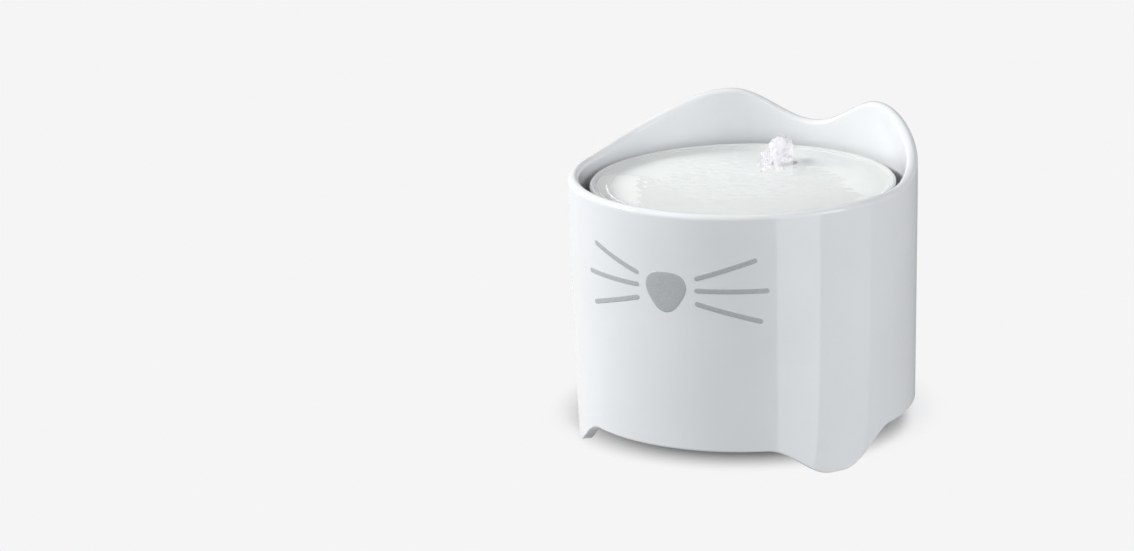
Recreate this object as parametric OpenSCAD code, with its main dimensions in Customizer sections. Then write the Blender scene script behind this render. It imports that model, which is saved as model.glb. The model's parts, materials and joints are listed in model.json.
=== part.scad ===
// Pet water fountain: a glazed ceramic vessel whose rim rises to two ears, with a lift-out
// drinking tray, a spout that stands in the tray's hole, and a pump and filter in the
// reservoir below. Millimetres. Z is up, the front with the nose and whiskers faces -Y,
// and the origin is on the ground at the middle of the vessel.
// Angles round the vessel are counted from the front, positive towards +X.

/* [Vessel] */
// Outer radius of the vessel at the rim
vessel_r = 88; // [84:0.5:94]
// Outer radius of the vessel at the feet
foot_r = 86; // [83:0.5:92]
// Thickness of the vessel's wall
wall = 5.6; // [4.6:0.1:6.6]
// Height of the rim round the front
front_h = 135.5; // [130:0.5:145]
// Height of the ears
ear_h = 158.5; // [150:0.5:170]
// Height of the dip between the ears
back_h = 143; // [138:0.5:148]
// Angle of each ear's tip from the front
ear_angle = 150; // [140:1:156]
// Angle at which the rim starts to rise
rise_start = 86; // [65:1:95]
// How far the ears' outer sides are flattened below an even ease, as a share of their rise
ear_flattening = 0.16; // [0:0.01:0.25]

/* [Feet and floor] */
// Height of the vessel's underside above the ground
floor_z = 20.5; // [19.5:0.5:23]
// Thickness of the vessel's floor
floor_t = 5; // [4:0.5:7]
// Radius of the cove between floor and wall
cove_r = 6; // [3:0.5:8]
// Angle of each front foot from the front
foot_angle = 57.5; // [54:0.5:62]
// Angle over which a foot blends into the arch beside it
foot_flank = 25; // [22:1:29]
// Half of the flat stretch under a foot, as an angle
foot_flat = 2.5; // [2.5:0.5:6]
// Height of the arch between the front feet
front_arch_h = 14.9; // [10:0.1:17]
// Height of the arches at the sides
side_arch_h = 16.7; // [12:0.1:17.6]
// Radius on the edges under the feet
foot_lip = 1; // [0.8:0.1:2]

/* [Tray] */
// How far the tray's edge lies below the front rim
tray_drop = 5; // [3:0.5:8]
// Overflow gap between the tray's edge and the wall
tray_gap = 5.2; // [4:0.2:7]
// Depth of the tray's dish below its edge
dish_depth = 6.8; // [5:0.2:8]
// Thickness of the tray's floor
tray_t = 5; // [4:0.2:6]
// Width of the tray's sloping side, seen from above
dish_slope = 8; // [6:0.5:11]
// Width of the tray's rounded edge
tray_edge = 2.4; // [1.8:0.2:3.2]
// Distance of the spout in from the vessel's inner wall, at half height
spout_inset = 32.4; // [30:0.2:35]
// Radius of the hole round the spout
spout_hole_r = 6.7; // [6.3:0.1:8]
// Radius of the mound round the hole
mound_r = 17; // [13:0.5:18]
// How far the mound's top lies below the tray's edge
mound_drop = 2.3; // [1:0.1:3]
// Width of each lug that carries the tray
lug_w = 14; // [8:1:20]
// How far the lugs stand in from the wall
lug_reach = 16; // [14:0.5:19]
// Height of a lug at the wall
lug_h = 16; // [10:1:22]
// Height of a lug at its nose
lug_nose_h = 4; // [3:0.5:8]
// Angle of the rear lugs from the front one
lug_angle = 120; // [105:1:135]

/* [Nose and whiskers] */
// Thickness of the printed glaze
print_t = 0.25; // [0.1:0.05:0.4]
// Half the distance between the nose's upper corners' centres
nose_corner_x = 4.2; // [3:0.1:6]
// Radius of the nose's upper corners
nose_corner_r = 7; // [5:0.1:8]
// Radius of the nose's lower tip
nose_tip_r = 4.8; // [3:0.1:6]
// Height of the nose's top edge
nose_top = 105.2; // [100:0.2:108]
// Height of the nose, from top to tip
nose_h = 20.6; // [18:0.2:24]
// Width of a whisker's stroke
whisker_w = 2.5; // [1.5:0.1:4]
// Angle of the whiskers' inner ends from the front
whisker_in_angle = 10.8; // [9:0.1:13]
// Angle of the whiskers' outer ends, from the upper one down
whisker_out_angle = [29.5, 33.2, 31]; // [24:0.1:38]
// Height of the whiskers' inner ends
whisker_in_z = [103.5, 97.3, 90.6]; // [84:0.1:108]
// Height of the whiskers' outer ends
whisker_out_z = [112.8, 97.5, 82.2]; // [76:0.1:118]

/* [Pump] */
// Width of the pump
pump_w = 34; // [32:0.5:38]
// Height of the pump's body
pump_h = 32; // [31:0.5:36]
// Length of the pump's body along its shaft
pump_l = 30; // [29:0.5:33]
// Radius on the pump's long edges
pump_corner = 4; // [2:0.5:5]
// Wall of the pump's motor chamber
pump_wall = 2; // [1.6:0.1:2.2]
// Radius of the chamber that the impeller turns in
volute_r = 12.5; // [12:0.1:12.7]
// Depth of that chamber
volute_depth = 10; // [9:0.2:11]
// Radius of the rotor's well
well_r = 8.2; // [8:0.1:8.4]
// Radius of the rotor's shaft
shaft_r = 1; // [0.8:0.1:1.2]
// Radius of the rotor's magnet
magnet_r = 7.4; // [6.5:0.1:7.6]
// Radius of the impeller
impeller_r = 10.8; // [9:0.1:11.2]
// Number of blades on the impeller
blade_count = 6; // [4:1:8]
// Thickness of the pump's cover
cover_t = 3; // [2.5:0.1:3.5]
// Radius of the intake in the cover
intake_r = 8.5; // [7:0.1:9.5]
// Thickness of the flow dial
dial_t = 2; // [1.5:0.1:2.4]
// Radius of the flow dial
dial_r = 10.5; // [10:0.1:12]
// Length of the flow dial's finger tab
dial_tab = 5; // [3:0.5:6]
// Height of the suction cups that the pump stands on
cup_h = 4.5; // [3.5:0.5:6]
// Radius of the suction cups
cup_r = 5.5; // [4.5:0.1:5.6]

/* [Riser and nozzle] */
// Outer radius of the pump's outlet
nipple_r = 4; // [3.6:0.1:4.2]
// Length of the pump's outlet
nipple_l = 7; // [5:0.5:9]
// Radius of the water way
bore_r = 2.6; // [2:0.1:2.9]
// Wall of the riser tube
riser_wall = 1.2; // [1:0.1:1.4]
// Outer radius of the nozzle where it shows
nozzle_r = 4.3; // [4:0.1:4.8]
// Length of the nozzle's spigot in the riser
spigot_l = 12; // [8:0.5:16]
// How far the nozzle's rim stands above the mound
nozzle_proud = 1.8; // [-1:0.1:2.2]

/* [Filter] */
// Width of the filter case
case_w = 60; // [58:0.5:64]
// Height of the filter case
case_h = 56.5; // [56:0.5:62]
// Wall of the filter case
case_wall = 2; // [1.6:0.1:2.4]
// Corner radius of the filter case
case_corner = 3; // [2.6:0.1:4]
// Height of the rubber feet under the case
case_foot_h = 2.5; // [2:0.5:4]
// Thickness of the case's lid
lid_t = 2; // [1.5:0.1:2.5]
// Depth of the lid's locating lip
lid_lip = 3; // [2:0.5:4]
// Thickness of the filter cartridge
cartridge_t = 10; // [9:0.5:12]
// Height of the filter cartridge without its tab
cartridge_h = 50; // [44:0.5:52]
// Height of the cartridge's pull tab
tab_h = 9.5; // [7:0.5:11]
// Thickness of each fleece pad in the cartridge
fleece_t = 2; // [1.5:0.1:2.5]
// Thickness of the foam block in front of the intake
foam_t = 7; // [5:0.5:8]
// Width of the intake slots in the case's front
slot_w = 3; // [2:0.1:3.5]
// Distance between those slots
slot_pitch = 6; // [5:0.5:8]

/* [Power inlet] */
// Depth of the inlet's centre below the tray's underside
inlet_drop = 13; // [11:0.5:20]
// Radius of the inlet socket's thread
inlet_r = 5; // [4.5:0.1:5.5]
// Radius of the inlet socket's flange
inlet_flange_r = 8.2; // [7.4:0.1:9]
// Thickness of the flange
inlet_flange_t = 1; // [0.8:0.1:1.2]
// Thickness of the seal under the flange
inlet_seal_t = 0.6; // [0.5:0.1:0.8]
// Radius of the socket's plug hole
plug_hole_r = 2.85; // [2.6:0.05:3.2]
// Radius of the socket's centre pin
plug_pin_r = 1.05; // [0.8:0.05:1.3]
// Depth of the plug hole
plug_depth = 9.5; // [8:0.5:10]
// Width across the flats of the inlet's nut
nut_flats = 14; // [12.5:0.5:15]
// Thickness of the nut
nut_t = 3; // [2.5:0.1:3.2]
// Radius of the pump's lead
lead_r = 1.75; // [1.5:0.05:1.8]

/* [Clearances] */
// Gap at rest between a piece that lifts out and its seat
seat_gap = 0.3; // [0.2:0.05:0.5]
// Radial gap of a running or sliding fit
fit_gap = 0.05; // [0.03:0.01:0.08]
// Gap beside a piece that slides in a guide
slide_gap = 0.5; // [0.4:0.1:0.8]
// Gap round a piece that sits snugly on the same body
snug_gap = 0.1; // [0.05:0.01:0.15]

/* [Hidden] */
$fn = 96;

// Steps round the vessel, and round its rim's edge
turn_steps = 144;
rim_steps = 5;
// The wall leans out up to this distance below the front rim, and is upright above it
taper_top = front_h - 10;
// A cutter or an embedded root reaches this far past the face that it crosses
over = 1;

floor_top = floor_z + floor_t;
tray_top = front_h - tray_drop;
tray_floor = tray_top - dish_depth;
tray_bottom = tray_floor - tray_t;
mound_top = tray_top - mound_drop;
tray_r = inner_r(tray_top) - tray_gap;
spout_y = inner_r(taper_top / 2) - spout_inset;
dish_r = tray_r - tray_edge;

case_bottom = floor_top + case_foot_h;
case_top = case_bottom + case_h;
case_floor = case_bottom + case_wall;
pump_bottom = case_floor + cup_h;
pump_top = pump_bottom + pump_h;
axis_z = pump_bottom + pump_h / 2;
pump_back = spout_y + volute_depth / 2;
volute_y = pump_back - volute_depth;
pump_front = pump_back - pump_l;
web_t = 2;
well_wall = 2;
cap_plug = 1;
board_t = 1.6;
// Ends of the rotor's well: where the motor chamber sees it, and its floor
board_gap = 0.2;
well_tip_y = pump_front + cap_plug + board_t + 2 * board_gap;
well_floor_y = well_tip_y + well_wall;
bush_r = 3;
bush_t = 2;
hub_r = 4.4;
boss_r = 2.5;
boss_head_r = 3.2;
boss_head_t = 1;
dial_y = pump_back + cover_t + seat_gap;
dial_end_y = dial_y + dial_t;
head_y = dial_end_y + seat_gap;

// The cups' stems plug into the pump's underside, and the seal lies round the impeller's chamber
cup_stem_r = 2;
cup_stem_l = 1.4;
seal_r = 14.2;
seal_section = 0.75;
// The yoke wraps the coil, and both sit on the rotor's well
yoke_in = well_r + well_wall + snug_gap;
yoke_t = 1.2;
yoke_out = pump_h / 2 - pump_wall - 0.2;
yoke_y0 = well_floor_y + 0.5;
yoke_y1 = volute_y - web_t - snug_gap;
// The magnet runs between the front bush and the impeller with end play
end_play = 0.4;
magnet_y0 = well_floor_y + bush_t + end_play;
magnet_y1 = volute_y - end_play;

riser_bore = nipple_r + fit_gap;
riser_r = riser_bore + riser_wall;
riser_top = tray_bottom - 2.5;
collar_t = 2;
collar_r = riser_r + 0.4;
nozzle_top = mound_top + nozzle_proud;

foam_y = dial_end_y + boss_head_t + seat_gap + 0.4;
case_back = foam_y + foam_t + snug_gap + case_wall;
cartridge_w = case_w - 2 * case_wall - 2 * slide_gap;
rib_t = 1.5;
rib_w = 4;
// Front of the case: the cartridge and its guide stand just before the pump
guide_y = pump_front - web_t - 1.5 - rib_t;
cartridge_back = guide_y - slide_gap;
cartridge_front = cartridge_back - cartridge_t;
case_front = cartridge_front - slide_gap - case_wall;
case_l = case_back - case_front;
case_mid = (case_back + case_front) / 2;
cartridge_z = case_floor + seat_gap;
cartridge_rim = 3;
shell_t = 1.5;
lid_z = case_top + seat_gap;
notch_x = case_w / 2 - 10;
notch_w = 5;
notch_z = case_top - 11;

inlet_z = tray_bottom - inlet_drop;
inlet_face = sqrt(pow(outer_r(inlet_z), 2) - pow(inlet_flange_r, 2));
inlet_seat = inlet_face - inlet_flange_t - inlet_seal_t;
inlet_inner = inner_r(inlet_z) + 0.2;
nut_y = inlet_inner - nut_t;
socket_end = inlet_face - plug_depth - 3.5;
shell_end = socket_end - 1.5;
shell_r = 7;

// The pump's lead, drawn as a curve with this many steps between two points: out of the
// pump's side, along the case's side, through the notch in its back, up the gap behind it
// and over to the inlet's shell from below
lead_steps = 4;
lead_end_y = (shell_end + nut_y) / 2;
side_x = case_w / 2 - case_wall - lead_r - 0.75;
function behind(x, z) = [x, (case_back + sqrt(pow(inner_r(z), 2) - pow(x, 2))) / 2, z];
LEAD = [for (x = [-3, 0, 3]) [pump_w / 2 + x, pump_front + 6, axis_z - 8.5],
  [pump_w / 2 + 6, pump_front + 7, axis_z - 7.5], [side_x - 0.5, pump_front + 11, axis_z - 3.5],
  [side_x, volute_y, axis_z + 4.5], [side_x - 1.5, pump_back, axis_z + 13.5],
  [notch_x + 2, case_back - 8, notch_z - 1.5], [notch_x, case_back - 1, notch_z + 2.5],
  behind(notch_x - 4, notch_z + 6.5), behind(notch_x - 12, case_top + 0.5),
  [2, lead_end_y, inlet_z - 16.7], for (z = [13.7, 10.7, 5.7]) [0, lead_end_y, inlet_z - z]];
lead_side_y = LEAD[0][1];
lead_side_z = LEAD[0][2];

// ---------- outlines of the vessel ----------

// A cosine ease from lo to hi as t goes from 0 to 1
function ease(lo, hi, t) = lo + (hi - lo) * (1 - cos(180 * max(0, min(1, t)))) / 2;
// An angle folded to 0 at the front and 180 at the back
function fold(a) = a > 180 ? 360 - a : a;
function outer_r(z) = foot_r + (vessel_r - foot_r) * max(0, min(1, z / taper_top));
function inner_r(z) = outer_r(z) - wall;
// Rise of the rim from 0 to 1 as t does: an ease that is flattened most half way up
function ear_rise(t) = ease(0, 1, t) * (1 - ear_flattening * pow(sin(180 * max(0, min(1, t))), 2));
// Height of the rim at an angle: level in front, up to an ear, down to the dip
function rim_z(a) = fold(a) < ear_angle
  ? front_h + (ear_h - front_h) * ear_rise((fold(a) - rise_start) / (ear_angle - rise_start))
  : ease(ear_h, back_h, (fold(a) - ear_angle) / (180 - ear_angle));
// Angle to the nearest of the three feet: two in front and one at the back
function foot_distance(a) = min(abs(fold(a) - foot_angle), 180 - fold(a));
function skirt_z(a) = ease(0, fold(a) < foot_angle ? front_arch_h : side_arch_h,
  (foot_distance(a) - foot_flat) / (foot_flank - foot_flat));
// A point at an angle, a radius and a height
function at(a, r, z) = [r * sin(a), -r * cos(a), z];

// The wall's section at an angle, as [radius, height] pairs from the edge of the inner
// floor up the inside, over the rim, down the outside and up to the underside
function section(a) = let(
    rim = rim_z(a), foot = skirt_z(a), half = wall / 2, low = inner_r(floor_top + cove_r),
    out = outer_r(foot), in = outer_r(foot) - wall)
  concat(
    [for (t = [0, 30, 60, 90])
      [low - cove_r + cove_r * sin(t), floor_top + cove_r - cove_r * cos(t)]],
    [[inner_r(taper_top), taper_top]],
    [for (i = [0:rim_steps]) let(t = 180 - 180 * i / rim_steps)
      [vessel_r - half + half * cos(t), rim - half + half * sin(t)]],
    [[vessel_r, taper_top]],
    [[outer_r(foot + foot_lip), foot + foot_lip]],
    [for (t = [45, 90]) [out - foot_lip + foot_lip * cos(t), foot + foot_lip - foot_lip * sin(t)]],
    [for (t = [90, 135]) [in + foot_lip + foot_lip * cos(t), foot + foot_lip - foot_lip * sin(t)]],
    [[in, foot + foot_lip], [inner_r(floor_z), floor_z]]);

// The vessel without its lugs and inlet hole: one closed skin of the sections
module vessel_shell() {
  n = turn_steps;
  m = len(section(0));
  points = concat(
    [for (i = [0:n - 1]) let(a = 360 * i / n) for (p = section(a)) at(a, p[0], p[1])],
    [[0, 0, floor_top], [0, 0, floor_z]]);
  sides = [for (i = [0:n - 1]) let(j = (i + 1) % n) for (k = [0:m - 2])
    for (f = [[i * m + k, j * m + k, i * m + k + 1], [j * m + k, j * m + k + 1, i * m + k + 1]]) f];
  ends = [for (i = [0:n - 1]) let(j = (i + 1) % n)
    for (f = [[n * m, j * m, i * m], [n * m + 1, i * m + m - 1, j * m + m - 1]]) f];
  polyhedron(points, concat(sides, ends));
}

// ---------- small shared shapes ----------

// A rectangle with round corners, centred
module rounded_rect(w, l, r) {
  square([w - 2 * r, l], center = true);
  square([w, l - 2 * r], center = true);
  for (x = [-1, 1], y = [-1, 1]) translate([x * (w / 2 - r), y * (l / 2 - r)]) circle(r);
}

// Lays a shape drawn in X and Z along Y from y0 to y1, about the pump's axis height z
module along_y(y0, y1, z = 0) {
  translate([0, y1, z]) rotate([90, 0, 0]) linear_extrude(y1 - y0) children();
}

// A round bar along Y
module bar_y(r, y0, y1, z) {
  along_y(y0, y1, z) circle(r);
}

// A plain ring along Y
module ring_y(r_out, r_in, y0, y1, z) {
  along_y(y0, y1, z) difference() {
    circle(r_out);
    circle(r_in);
  }
}

// ---------- vessel and tray ----------

module tray_lug() {
  top = tray_bottom - seat_gap;
  root = inner_r(top) + wall / 2;
  tip = inner_r(top) - lug_reach;
  rotate([90, 0, 0]) translate([0, 0, -lug_w / 2]) linear_extrude(lug_w)
    polygon([[root, top], [tip, top], [tip, top - lug_nose_h], [root, top - lug_h]]);
}

module vessel() {
  color("whitesmoke") difference() {
    union() {
      vessel_shell();
      for (a = [-lug_angle, 0, lug_angle]) rotate([0, 0, a - 90]) tray_lug();
    }
    bar_y(inlet_r + snug_gap, inlet_inner - 5, vessel_r + over, inlet_z);
    bar_y(inlet_flange_r + slide_gap, inlet_seat, vessel_r + over, inlet_z);
    bar_y(inlet_flange_r + slide_gap, inlet_inner - 5, inlet_inner, inlet_z);
  }
}

// Side of the dish, from its floor up to the tray's edge, as [radius, height]
function dish_z(r) = ease(tray_floor, tray_top - tray_edge / 4,
  (r - dish_r + dish_slope) / (dish_slope * 1.15));

module tray() {
  edge = tray_edge / 2;
  steps = 8;
  difference() {
    color("white") union() {
      rotate_extrude() polygon(concat(
        [[0, tray_bottom], [tray_r - dish_slope - 1, tray_bottom], [tray_r - 1.5, tray_top - 5],
          [tray_r, tray_top - 3]],
        [for (i = [0:steps]) let(t = 180 * i / steps)
          [tray_r - edge + edge * cos(t), tray_top - edge + edge * sin(t)]],
        [for (i = [1:steps]) let(r = dish_r - dish_slope * i / steps) [r, dish_z(r)]],
        [[0, tray_floor]]));
      translate([0, spout_y, 0]) rotate_extrude() polygon(concat(
        [[0, tray_bottom + over], [mound_r, tray_bottom + over]],
        [for (i = [0:steps]) let(t = i / steps)
          [mound_r + (spout_hole_r - mound_r) * t, ease(tray_floor - 0.2, mound_top, t)]],
        [[0, mound_top]]));
    }
    translate([0, spout_y, tray_bottom - over])
      cylinder(r = spout_hole_r, h = mound_top - tray_bottom + 2 * over);
  }
}

// ---------- nose and whiskers ----------

// The thin layer on the wall that the prints are cut from
module print_layer(z0, z1) {
  gap = 0.02;
  rotate_extrude() polygon([[outer_r(z0) + gap, z0], [outer_r(z0) + gap + print_t, z0],
    [outer_r(z1) + gap + print_t, z1], [outer_r(z1) + gap, z1]]);
}

// Cuts an outline drawn in X and Z, as seen from the front, out of that layer
module printed(z0, z1) {
  intersection() {
    print_layer(z0, z1);
    along_y(-vessel_r - 5, 0) children();
  }
}

module nose_print() {
  tip = nose_top - nose_h + nose_tip_r;
  color("darkgray") printed(nose_top - nose_h - over, nose_top + over) hull() {
    for (x = [-1, 1]) translate([x * nose_corner_x, nose_top - nose_corner_r]) circle(nose_corner_r);
    translate([0, tip]) circle(nose_tip_r);
  }
}

// Middle line of whisker i at t from 0, its inner end, to 1: [angle, height]
function whisker_line(i, t) = [
  whisker_in_angle + (whisker_out_angle[i] - whisker_in_angle) * t,
  whisker_in_z[i] + (whisker_out_z[i] - whisker_in_z[i]) * t];

// Outline of whisker i as seen from the front: one long side, a round end, the other
// side and the other round end, in degrees and millimetres, wrapped on the wall
module whisker(i) {
  steps = 8;
  mm = 180 / PI / outer_r(whisker_in_z[i]);
  half = whisker_w / 2;
  last = whisker_line(i, 1);
  first = whisker_line(i, 0);
  lean = atan2(last[1] - first[1], (last[0] - first[0]) / mm);
  sides = concat(
    [for (k = [0:steps]) let(p = whisker_line(i, k / steps))
      [p[0] + half * mm * sin(lean), p[1] - half * cos(lean)]],
    [for (k = [1:steps - 1]) let(t = lean - 90 + 180 * k / steps)
      [last[0] + half * mm * cos(t), last[1] + half * sin(t)]],
    [for (k = [steps:-1:0]) let(p = whisker_line(i, k / steps))
      [p[0] - half * mm * sin(lean), p[1] + half * cos(lean)]],
    [for (k = [1:steps - 1]) let(t = lean + 90 + 180 * k / steps)
      [first[0] + half * mm * cos(t), first[1] + half * sin(t)]]);
  polygon([for (p = sides) [outer_r(p[1]) * sin(p[0]), p[1]]]);
}

module whisker_prints() {
  low = min(whisker_out_z) - 2 * whisker_w;
  high = max(whisker_out_z) + 2 * whisker_w;
  color("darkgray") for (i = [0:2], side = [0, 1])
    printed(low, high) mirror([side, 0]) whisker(i);
}

// ---------- riser and nozzle ----------

module riser_tube() {
  color("gainsboro") translate([0, spout_y, pump_top + seat_gap]) difference() {
    cylinder(r = riser_r, h = riser_top - pump_top - seat_gap);
    translate([0, 0, -over]) cylinder(r = riser_bore, h = riser_top - pump_top + 2 * over);
  }
}

// The nozzle: a spigot in the riser, a collar on its top and a spout with a flared mouth
module nozzle() {
  collar_z = riser_top + seat_gap;
  mouth = nozzle_r - 0.6;
  color("white") translate([0, spout_y, 0]) rotate_extrude() polygon([
    [bore_r, collar_z - spigot_l], [nipple_r, collar_z - spigot_l], [nipple_r, collar_z],
    [collar_r, collar_z], [collar_r, collar_z + collar_t], [nozzle_r - 0.2, collar_z + collar_t + 1],
    [nozzle_r, nozzle_top - 0.6], [nozzle_r - 0.2, nozzle_top], [mouth, nozzle_top],
    [bore_r, nozzle_top - 3]]);
}

// ---------- filter case ----------

module filter_case() {
  inner_w = case_w - 2 * case_wall;
  inner_l = case_l - 2 * case_wall;
  inner_corner = case_corner - case_wall;
  slot_margin = 4;
  slots = floor((inner_w - 2 * rib_w) / slot_pitch / 2);
  color("lightsteelblue") {
    difference() {
      translate([0, case_mid, case_bottom]) linear_extrude(case_h)
        rounded_rect(case_w, case_l, case_corner);
      translate([0, case_mid, case_floor]) linear_extrude(case_h)
        rounded_rect(inner_w, inner_l, inner_corner);
      for (i = [-slots:slots]) translate([i * slot_pitch - slot_w / 2, case_front - over,
          case_floor + slot_margin])
        cube([slot_w, case_wall + 2 * over, cartridge_h - 2 * slot_margin]);
      translate([notch_x - notch_w / 2, case_back - case_wall - over, notch_z])
        cube([notch_w, case_wall + 2 * over, case_top - notch_z + over]);
    }
    for (side = [-1, 1]) translate([side * (inner_w / 2 - rib_w / 2) - rib_w / 2, guide_y, case_floor])
      cube([rib_w, rib_t, cartridge_h]);
  }
}

module case_feet() {
  inset = 8;
  r = 4;
  color("dimgray") for (x = [-1, 1], y = [case_front + inset, case_back - inset])
    translate([x * (case_w / 2 - inset), y, floor_top]) cylinder(r = r, h = case_foot_h);
}

// The lid closes the case, with a hole for the riser and a slot for the cartridge
module filter_case_lid() {
  lip_w = case_w - 2 * case_wall - 2 * slide_gap;
  lip_l = case_l - 2 * case_wall - 2 * slide_gap;
  lip_corner = case_corner - case_wall;
  slot = [cartridge_w + slide_gap, cartridge_t + slide_gap];
  color("lightsteelblue") difference() {
    union() {
      translate([0, case_mid, lid_z]) linear_extrude(lid_t) rounded_rect(case_w, case_l, case_corner);
      translate([0, case_mid, lid_z - lid_lip]) linear_extrude(lid_lip + lid_t / 2) difference() {
        rounded_rect(lip_w, lip_l, lip_corner / 2);
        rounded_rect(lip_w - 2 * case_wall, lip_l - 2 * case_wall, lip_corner / 4);
      }
    }
    translate([0, spout_y, lid_z - over]) cylinder(r = collar_r + slide_gap, h = lid_t + 2 * over);
    translate([0, (cartridge_front + cartridge_back) / 2, lid_z + lid_t / 2])
      cube([slot[0], slot[1], 2 * lid_lip + 3 * lid_t], center = true);
    translate([notch_x - notch_w / 2, case_back - 3 * case_wall, lid_z - lid_lip - over])
      cube([notch_w, 3 * case_wall + over, lid_lip + over]);
  }
}

module cartridge_frame() {
  mid = (cartridge_front + cartridge_back) / 2;
  inner_w = cartridge_w - 2 * cartridge_rim;
  bars = 4;
  bar_w = 1.6;
  tab_w = 18;
  tab_t = 2.5;
  tab_hole_r = 2.6;
  color("white") {
    difference() {
      translate([-cartridge_w / 2, cartridge_front, cartridge_z])
        cube([cartridge_w, cartridge_t, cartridge_h]);
      translate([-inner_w / 2, cartridge_front + shell_t, cartridge_z + cartridge_rim])
        cube([inner_w, cartridge_t - 2 * shell_t, cartridge_h - 2 * cartridge_rim]);
      for (i = [0:bars]) let(pitch = (inner_w - bar_w) / (bars + 1))
        translate([-inner_w / 2 + bar_w + i * pitch, cartridge_front - over,
            cartridge_z + cartridge_rim + 2])
          cube([pitch - bar_w, cartridge_t + 2 * over, cartridge_h - 2 * cartridge_rim - 4]);
    }
    translate([0, mid, cartridge_z + cartridge_h - over]) difference() {
      translate([-tab_w / 2, -tab_t / 2, 0]) cube([tab_w, tab_t, tab_h + over]);
      translate([0, tab_t, over + tab_h / 2]) rotate([90, 0, 0]) cylinder(r = tab_hole_r, h = 2 * tab_t);
    }
  }
}

// A slab that fills the cartridge's inside between two depths
module cartridge_slab(y0, y1) {
  w = cartridge_w - 2 * cartridge_rim - 2 * snug_gap;
  h = cartridge_h - 2 * cartridge_rim - 2 * snug_gap;
  translate([-w / 2, y0, cartridge_z + cartridge_rim + snug_gap]) cube([w, y1 - y0, h]);
}

module cartridge_fleece() {
  front = cartridge_front + shell_t + snug_gap;
  back = cartridge_back - shell_t - snug_gap;
  color("white") {
    cartridge_slab(front, front + fleece_t);
    cartridge_slab(back - fleece_t, back);
  }
}

module carbon_granules() {
  inset = shell_t + fleece_t + 2 * snug_gap;
  color("darkslategray") cartridge_slab(cartridge_front + inset, cartridge_back - inset);
}

module foam_block() {
  left = case_w / 2 - case_corner - snug_gap;
  right = notch_x - notch_w;
  color("slategray") translate([-left, foam_y, case_floor])
    cube([left + right, foam_t, axis_z + intake_r + 2 - case_floor]);
}

// ---------- pump ----------

module pump_outline(inset = 0) {
  rounded_rect(pump_w - 2 * inset, pump_h - 2 * inset, pump_corner - inset);
}

// Places its children at the four cups under the pump
module at_cups() {
  inset = 7;
  for (x = [-1, 1], y = [pump_front + inset, pump_back - inset])
    translate([x * (pump_w / 2 - inset), y, 0]) children();
}

module pump_housing() {
  color("dimgray") difference() {
    union() {
      along_y(pump_front, pump_back, axis_z) pump_outline();
      translate([0, spout_y, pump_top - over]) cylinder(r = nipple_r, h = nipple_l + over);
    }
    bar_y(volute_r, volute_y, pump_back + over, axis_z);
    bar_y(well_r, well_floor_y, pump_back, axis_z);
    difference() {
      along_y(pump_front - over, volute_y - web_t, axis_z) pump_outline(pump_wall);
      bar_y(well_r + well_wall, well_tip_y, pump_back, axis_z);
    }
    ring_y(seal_r + seal_section, seal_r - seal_section, pump_back - 2 * seal_section,
      pump_back + over, axis_z);
    translate([0, spout_y, axis_z + volute_r / 2])
      cylinder(r = bore_r, h = pump_h / 2 + nipple_l);
    at_cups() translate([0, 0, pump_bottom - over])
      cylinder(r = cup_stem_r + snug_gap, h = cup_stem_l + snug_gap + over);
    translate([pump_w / 4, lead_side_y, lead_side_z]) rotate([0, 90, 0])
      cylinder(r = lead_r + 1 + snug_gap, h = pump_w);
  }
}

module suction_cups() {
  color("silver") at_cups() translate([0, 0, case_floor]) rotate_extrude() polygon([
    [0, cup_h - 2], [cup_r - 2, 1], [cup_r - 0.6, 0], [cup_r, 0], [cup_stem_r + 0.6, cup_h - 1],
    [cup_stem_r + 0.6, cup_h], [cup_stem_r, cup_h], [cup_stem_r, cup_h + cup_stem_l],
    [0, cup_h + cup_stem_l]]);
}

module motor_cap() {
  color("dimgray") {
    along_y(pump_front - web_t, pump_front, axis_z) pump_outline();
    along_y(pump_front - over / 2, pump_front + cap_plug - over / 2, axis_z)
      pump_outline(pump_wall + snug_gap);
  }
}

module control_board() {
  y0 = pump_front + cap_plug + board_gap;
  w = pump_w - 2 * pump_wall - 3;
  h = pump_h - 2 * pump_wall - 5;
  color("seagreen") along_y(y0, y0 + board_t, axis_z) square([w, h], center = true);
}

module stator_yoke() {
  color("gray") difference() {
    ring_y(yoke_out, yoke_in, yoke_y0, yoke_y1, axis_z);
    bar_y(yoke_out - yoke_t, yoke_y0 + yoke_t, yoke_y1 - yoke_t, axis_z);
  }
}

module stator_coil() {
  color("peru") ring_y(yoke_out - yoke_t - snug_gap, yoke_in + snug_gap,
    yoke_y0 + yoke_t + snug_gap, yoke_y1 - yoke_t - snug_gap, axis_z);
}

module front_bush() {
  color("black") ring_y(bush_r, shaft_r, well_floor_y, well_floor_y + bush_t, axis_z);
}

module rear_bush() {
  color("black") ring_y(bush_r, shaft_r, pump_back, pump_back + bush_t, axis_z);
}

module rotor_shaft() {
  color("silver") bar_y(shaft_r, well_floor_y, pump_back + bush_t, axis_z);
}

module rotor_magnet() {
  color("darkslategray") ring_y(magnet_r, shaft_r + fit_gap, magnet_y0, magnet_y1, axis_z);
}

module impeller() {
  disc_t = 1.4;
  tip_y = pump_back - 0.6;
  blade_t = 1.2;
  hub = 3.4;
  color("white") difference() {
    union() {
      bar_y(hub, magnet_y1, tip_y, axis_z);
      bar_y(impeller_r, magnet_y1 + 1, magnet_y1 + 1 + disc_t, axis_z);
      for (i = [0:blade_count - 1]) translate([0, 0, axis_z]) rotate([0, 360 * i / blade_count, 0])
        translate([hub - 0.6, magnet_y1 + 1.5, -blade_t / 2])
          cube([impeller_r - 0.6 - hub, tip_y - magnet_y1 - 2.1, blade_t]);
    }
    bar_y(shaft_r + fit_gap, magnet_y1 - over, pump_back + over, axis_z);
  }
}

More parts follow.
